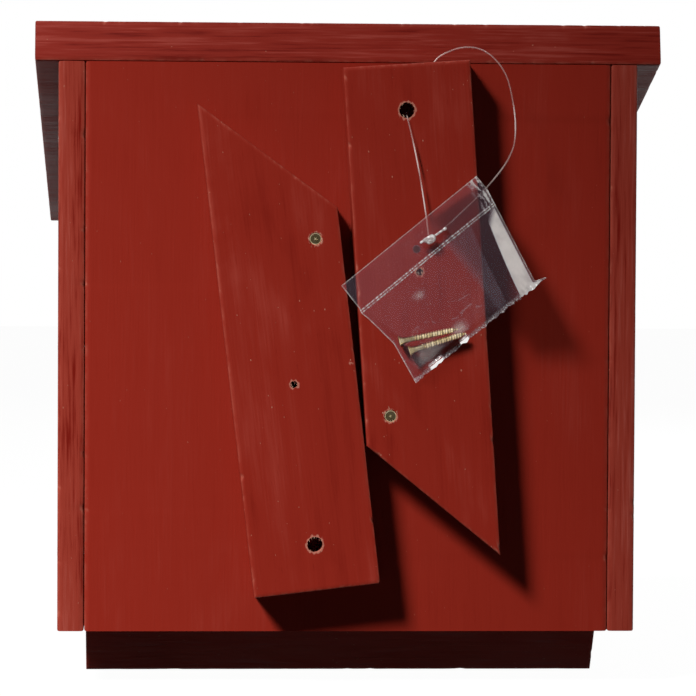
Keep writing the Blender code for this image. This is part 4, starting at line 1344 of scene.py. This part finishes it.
@shared("node_groups", "straw_bed")
def straw_bed(name):
    """Geometry Nodes: stalks scattered over a bed, each shortened to stay between the side boards."""
    tree, given, made = geometry_group(name, [
        ("Stalks", "Int", 800), ("Length", "Distance", 0.12), ("Radius", "Distance", 0.0016),
        ("Half width", "Distance", 0.133), ("Seed", "Int", 1), ("Straw", "Material", None)])
    seed = given["Seed"]
    scattered = field(tree, "GeometryNodeDistributePointsOnFaces", {
        "Mesh": given["Geometry"], "Seed": seed, "Density": 28000.0})
    index = field(tree, "GeometryNodeInputIndex")
    surplus = field(tree, "FunctionNodeCompare", {2: index, 3: given["Stalks"]}, data_type="INT",
                    operation="GREATER_EQUAL")
    kept = field(tree, "GeometryNodeDeleteGeometry", {"Geometry": scattered, "Selection": surplus})
    across = split(field(tree, "GeometryNodeInputPosition"))[0]
    room = (given["Half width"] - abs(across)) * 1.9
    length = (random_number(seed, 0.35, 1.0) * given["Length"]).least(room).most(0.006)
    girth = random_number(seed, 0.6, 1.15)
    scale = field(tree, "ShaderNodeCombineXYZ", {0: length, 1: girth, 2: girth})
    turn = random_vector(seed, (0.0, -0.05, -0.05), (6.28, 0.05, 0.05))
    line = field(tree, "GeometryNodeCurvePrimitiveLine", {"Start": (-0.5, 0.0, 0.0), "End": (0.5, 0.0, 0.0)})
    bent = field(tree, "GeometryNodeResampleCurve", {"Curve": line, "Count": 5})
    run = split(field(tree, "GeometryNodeInputPosition"))[0]
    bow = field(tree, "ShaderNodeCombineXYZ", {1: run * run * 0.006})
    bowed = field(tree, "GeometryNodeSetPosition", {"Geometry": bent, "Offset": bow})
    ring = field(tree, "GeometryNodeCurvePrimitiveCircle", {"Resolution": 7, "Radius": given["Radius"]})
    stalk = field(tree, "GeometryNodeCurveToMesh", {"Curve": bowed, "Profile Curve": ring})
    placed = field(tree, "GeometryNodeInstanceOnPoints", {
        "Points": kept, "Instance": stalk, "Rotation": turn, "Scale": scale})
    end_with(made, placed, given["Straw"])
    return tree


class HOUSE_OT_straw(bpy.types.Operator):
    """Fills the house with straw"""
    bl_idname = "house.straw"
    bl_label = "Straw"

    def execute(self, context):
        settings = context.scene.house_straw
        low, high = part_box("straw_fill")
        mat = self.straw_material(settings)
        belongs(self.core(low, high), mat, "root", "straw", "straw_fill")
        bed = self.beds(low, high)
        nodes_modifier(bed, straw_bed(), {
            "Stalks": settings.stalks * STALKS_BEHIND_EACH, "Length": settings.length,
            "Radius": settings.radius,
            "Half width": high.x, "Seed": settings.seed, "Straw": mat})
        belongs(smooth(bed, 60.0), mat, "root", "straw")
        return {"FINISHED"}

    def beds(self, low, high):
        """Flat sheets behind the front slats and above the floor slats, on which the stalks are scattered."""
        wide = high.x - 0.006
        edge = STRAW_BED_MARGIN
        front_top = high.z - (high.y - low.y) * math.tan(ROOF_SLOPE) - 0.012
        vertices = []
        for inset in STRAW_BED_INSETS:
            vertices += [(x, high.y - inset, z) for x, z in rectangle(wide, low.z + edge, front_top)]
            vertices += [(x, y, low.z + inset) for x, y in rectangle(wide, low.y + edge, high.y - edge)]
        faces = [tuple(range(first, first + 4)) for first in range(0, len(vertices), 4)]
        return mesh_piece("straw_stalks", vertices, faces)

    def core(self, low, high):
        """The straw that lies deeper, as one lumpy bed set back behind the stalks that show."""
        y0, y1 = low.y, high.y - STRAW_CORE_INSET
        z0 = low.z + STRAW_CORE_INSET
        top1 = high.z - (y1 - low.y) * math.tan(ROOF_SLOPE)
        vertices = []
        for x in (low.x, high.x):
            vertices += [(x, y0, z0), (x, y1, z0), (x, y1, top1), (x, y0, high.z)]
        core = mesh_piece("straw_core", vertices, BOX_FACES)
        bm = bmesh.new()
        bm.from_mesh(core.data)
        bmesh.ops.recalc_face_normals(bm, faces=bm.faces)
        bmesh.ops.subdivide_edges(bm, edges=bm.edges, cuts=30, use_grid_fill=True)
        for vert in bm.verts:
            lump = 0.0015 * noise.noise(Vector((vert.co.x * 20.0, vert.co.y * 130.0, vert.co.z * 130.0)))
            if vert.co.y > y1 - 0.0001:
                vert.co.y += lump
            if vert.co.z < z0 + 0.0001:
                vert.co.z += lump
        bm.to_mesh(core.data)
        bm.free()
        return core

    def straw_material(self, settings):
        mat, tree, shader = new_material("dry_straw")
        coords = object_coords(tree)
        stalk_tone = rise(noise_at(coords, (14.0, 230.0, 230.0), 2.0), 0.30, 0.70)
        fine = noise_at(coords, (60.0, 1600.0, 1600.0), 2.0)
        colour = mixed(stalk_tone, (0.24, 0.15, 0.055, 1.0), rgba(settings.colour))
        fill(shader, {
            "Base Color": mixed(rise(fine, 0.5, 0.8), colour, (0.74, 0.60, 0.33, 1.0)),
            "Roughness": fine * 0.25 + 0.32, "Normal": bump(fine, 0.3, 0.0003)})
        return mat


class HOUSE_OT_nails(bpy.types.Operator):
    """Drives the steel nails until their heads are nearly flush"""
    bl_idname = "house.nails"
    bl_label = "Nails"

    def execute(self, context):
        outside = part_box("side_board_right")[1].x + NAIL_HEAD_PROUD
        mat, tree, shader = new_material("bright_steel")
        tint = rise(noise_at(object_coords(tree), 800.0), 0.35, 0.65)
        fill(shader, {
            "Base Color": mixed(tint, (0.34, 0.33, 0.32, 1.0), (0.58, 0.57, 0.55, 1.0)), "Metallic": 1.0,
            "Roughness": tint * -0.15 + 0.42})
        for name, node in frame["nodes"].items():
            if name.startswith("nail_"):
                low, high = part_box(name)
                sink = Vector((outside - high.x if high.x > 0 else -outside - low.x, 0.0, 0.0))
                bm = bmesh.new()
                bm.from_mesh(node.data)
                bmesh.ops.remove_doubles(bm, verts=bm.verts, dist=MERGE_DISTANCE)
                bm.verts.index_update()
                faces = [tuple(vert.index for vert in face.verts) for face in bm.faces]
                nail = mesh_piece(name + "_driven", [vert.co for vert in bm.verts], faces,
                                  Matrix.Translation(sink) @ node.matrix_world)
                bm.free()
                belongs(smooth(nail), mat, "root", "nail_steel", name)
        return {"FINISHED"}


class HOUSE_PT_panel(bpy.types.Panel):
    """Lists the house's pieces and their settings"""
    bl_label = "Lacewing House"
    bl_idname = "HOUSE_PT_panel"
    bl_space_type = "VIEW_3D"
    bl_region_type = "UI"
    bl_category = "Lacewing House"

    def draw(self, context):
        for operator in OPERATORS:
            self.layout.operator(operator.bl_idname)
        for name in SETTINGS:
            box = self.layout.box()
            settings = getattr(context.scene, name)
            for label in settings.bl_rna.properties.keys():
                if label not in ("rna_type", "name"):
                    box.prop(settings, label)


SETTINGS = {
    "house_stage": StageSettings,
    "house_wood": WoodSettings,
    "house_screw": ScrewSettings,
    "house_tag": TagSettings,
    "house_straw": StrawSettings,
}
OPERATORS = (
    HOUSE_OT_stage, HOUSE_OT_bag, HOUSE_OT_loop, HOUSE_OT_boards, HOUSE_OT_slats, HOUSE_OT_battens,
    HOUSE_OT_screws,
    HOUSE_OT_nails, HOUSE_OT_straw,
)


def register():
    """Registers the settings, the operators and the panel."""
    for name, kind in SETTINGS.items():
        bpy.utils.register_class(kind)
        setattr(bpy.types.Scene, name, bpy.props.PointerProperty(type=kind))
    for kind in (*OPERATORS, HOUSE_PT_panel):
        bpy.utils.register_class(kind)


def unregister():
    """Takes away what register added."""
    for kind in (HOUSE_PT_panel, *reversed(OPERATORS)):
        bpy.utils.unregister_class(kind)
    for name, kind in SETTINGS.items():
        delattr(bpy.types.Scene, name)
        bpy.utils.unregister_class(kind)


def main():
    register()
    for operator in OPERATORS:
        section, name = operator.bl_idname.split(".")
        getattr(getattr(bpy.ops, section), name)()


if __name__ == "__main__":
    main()
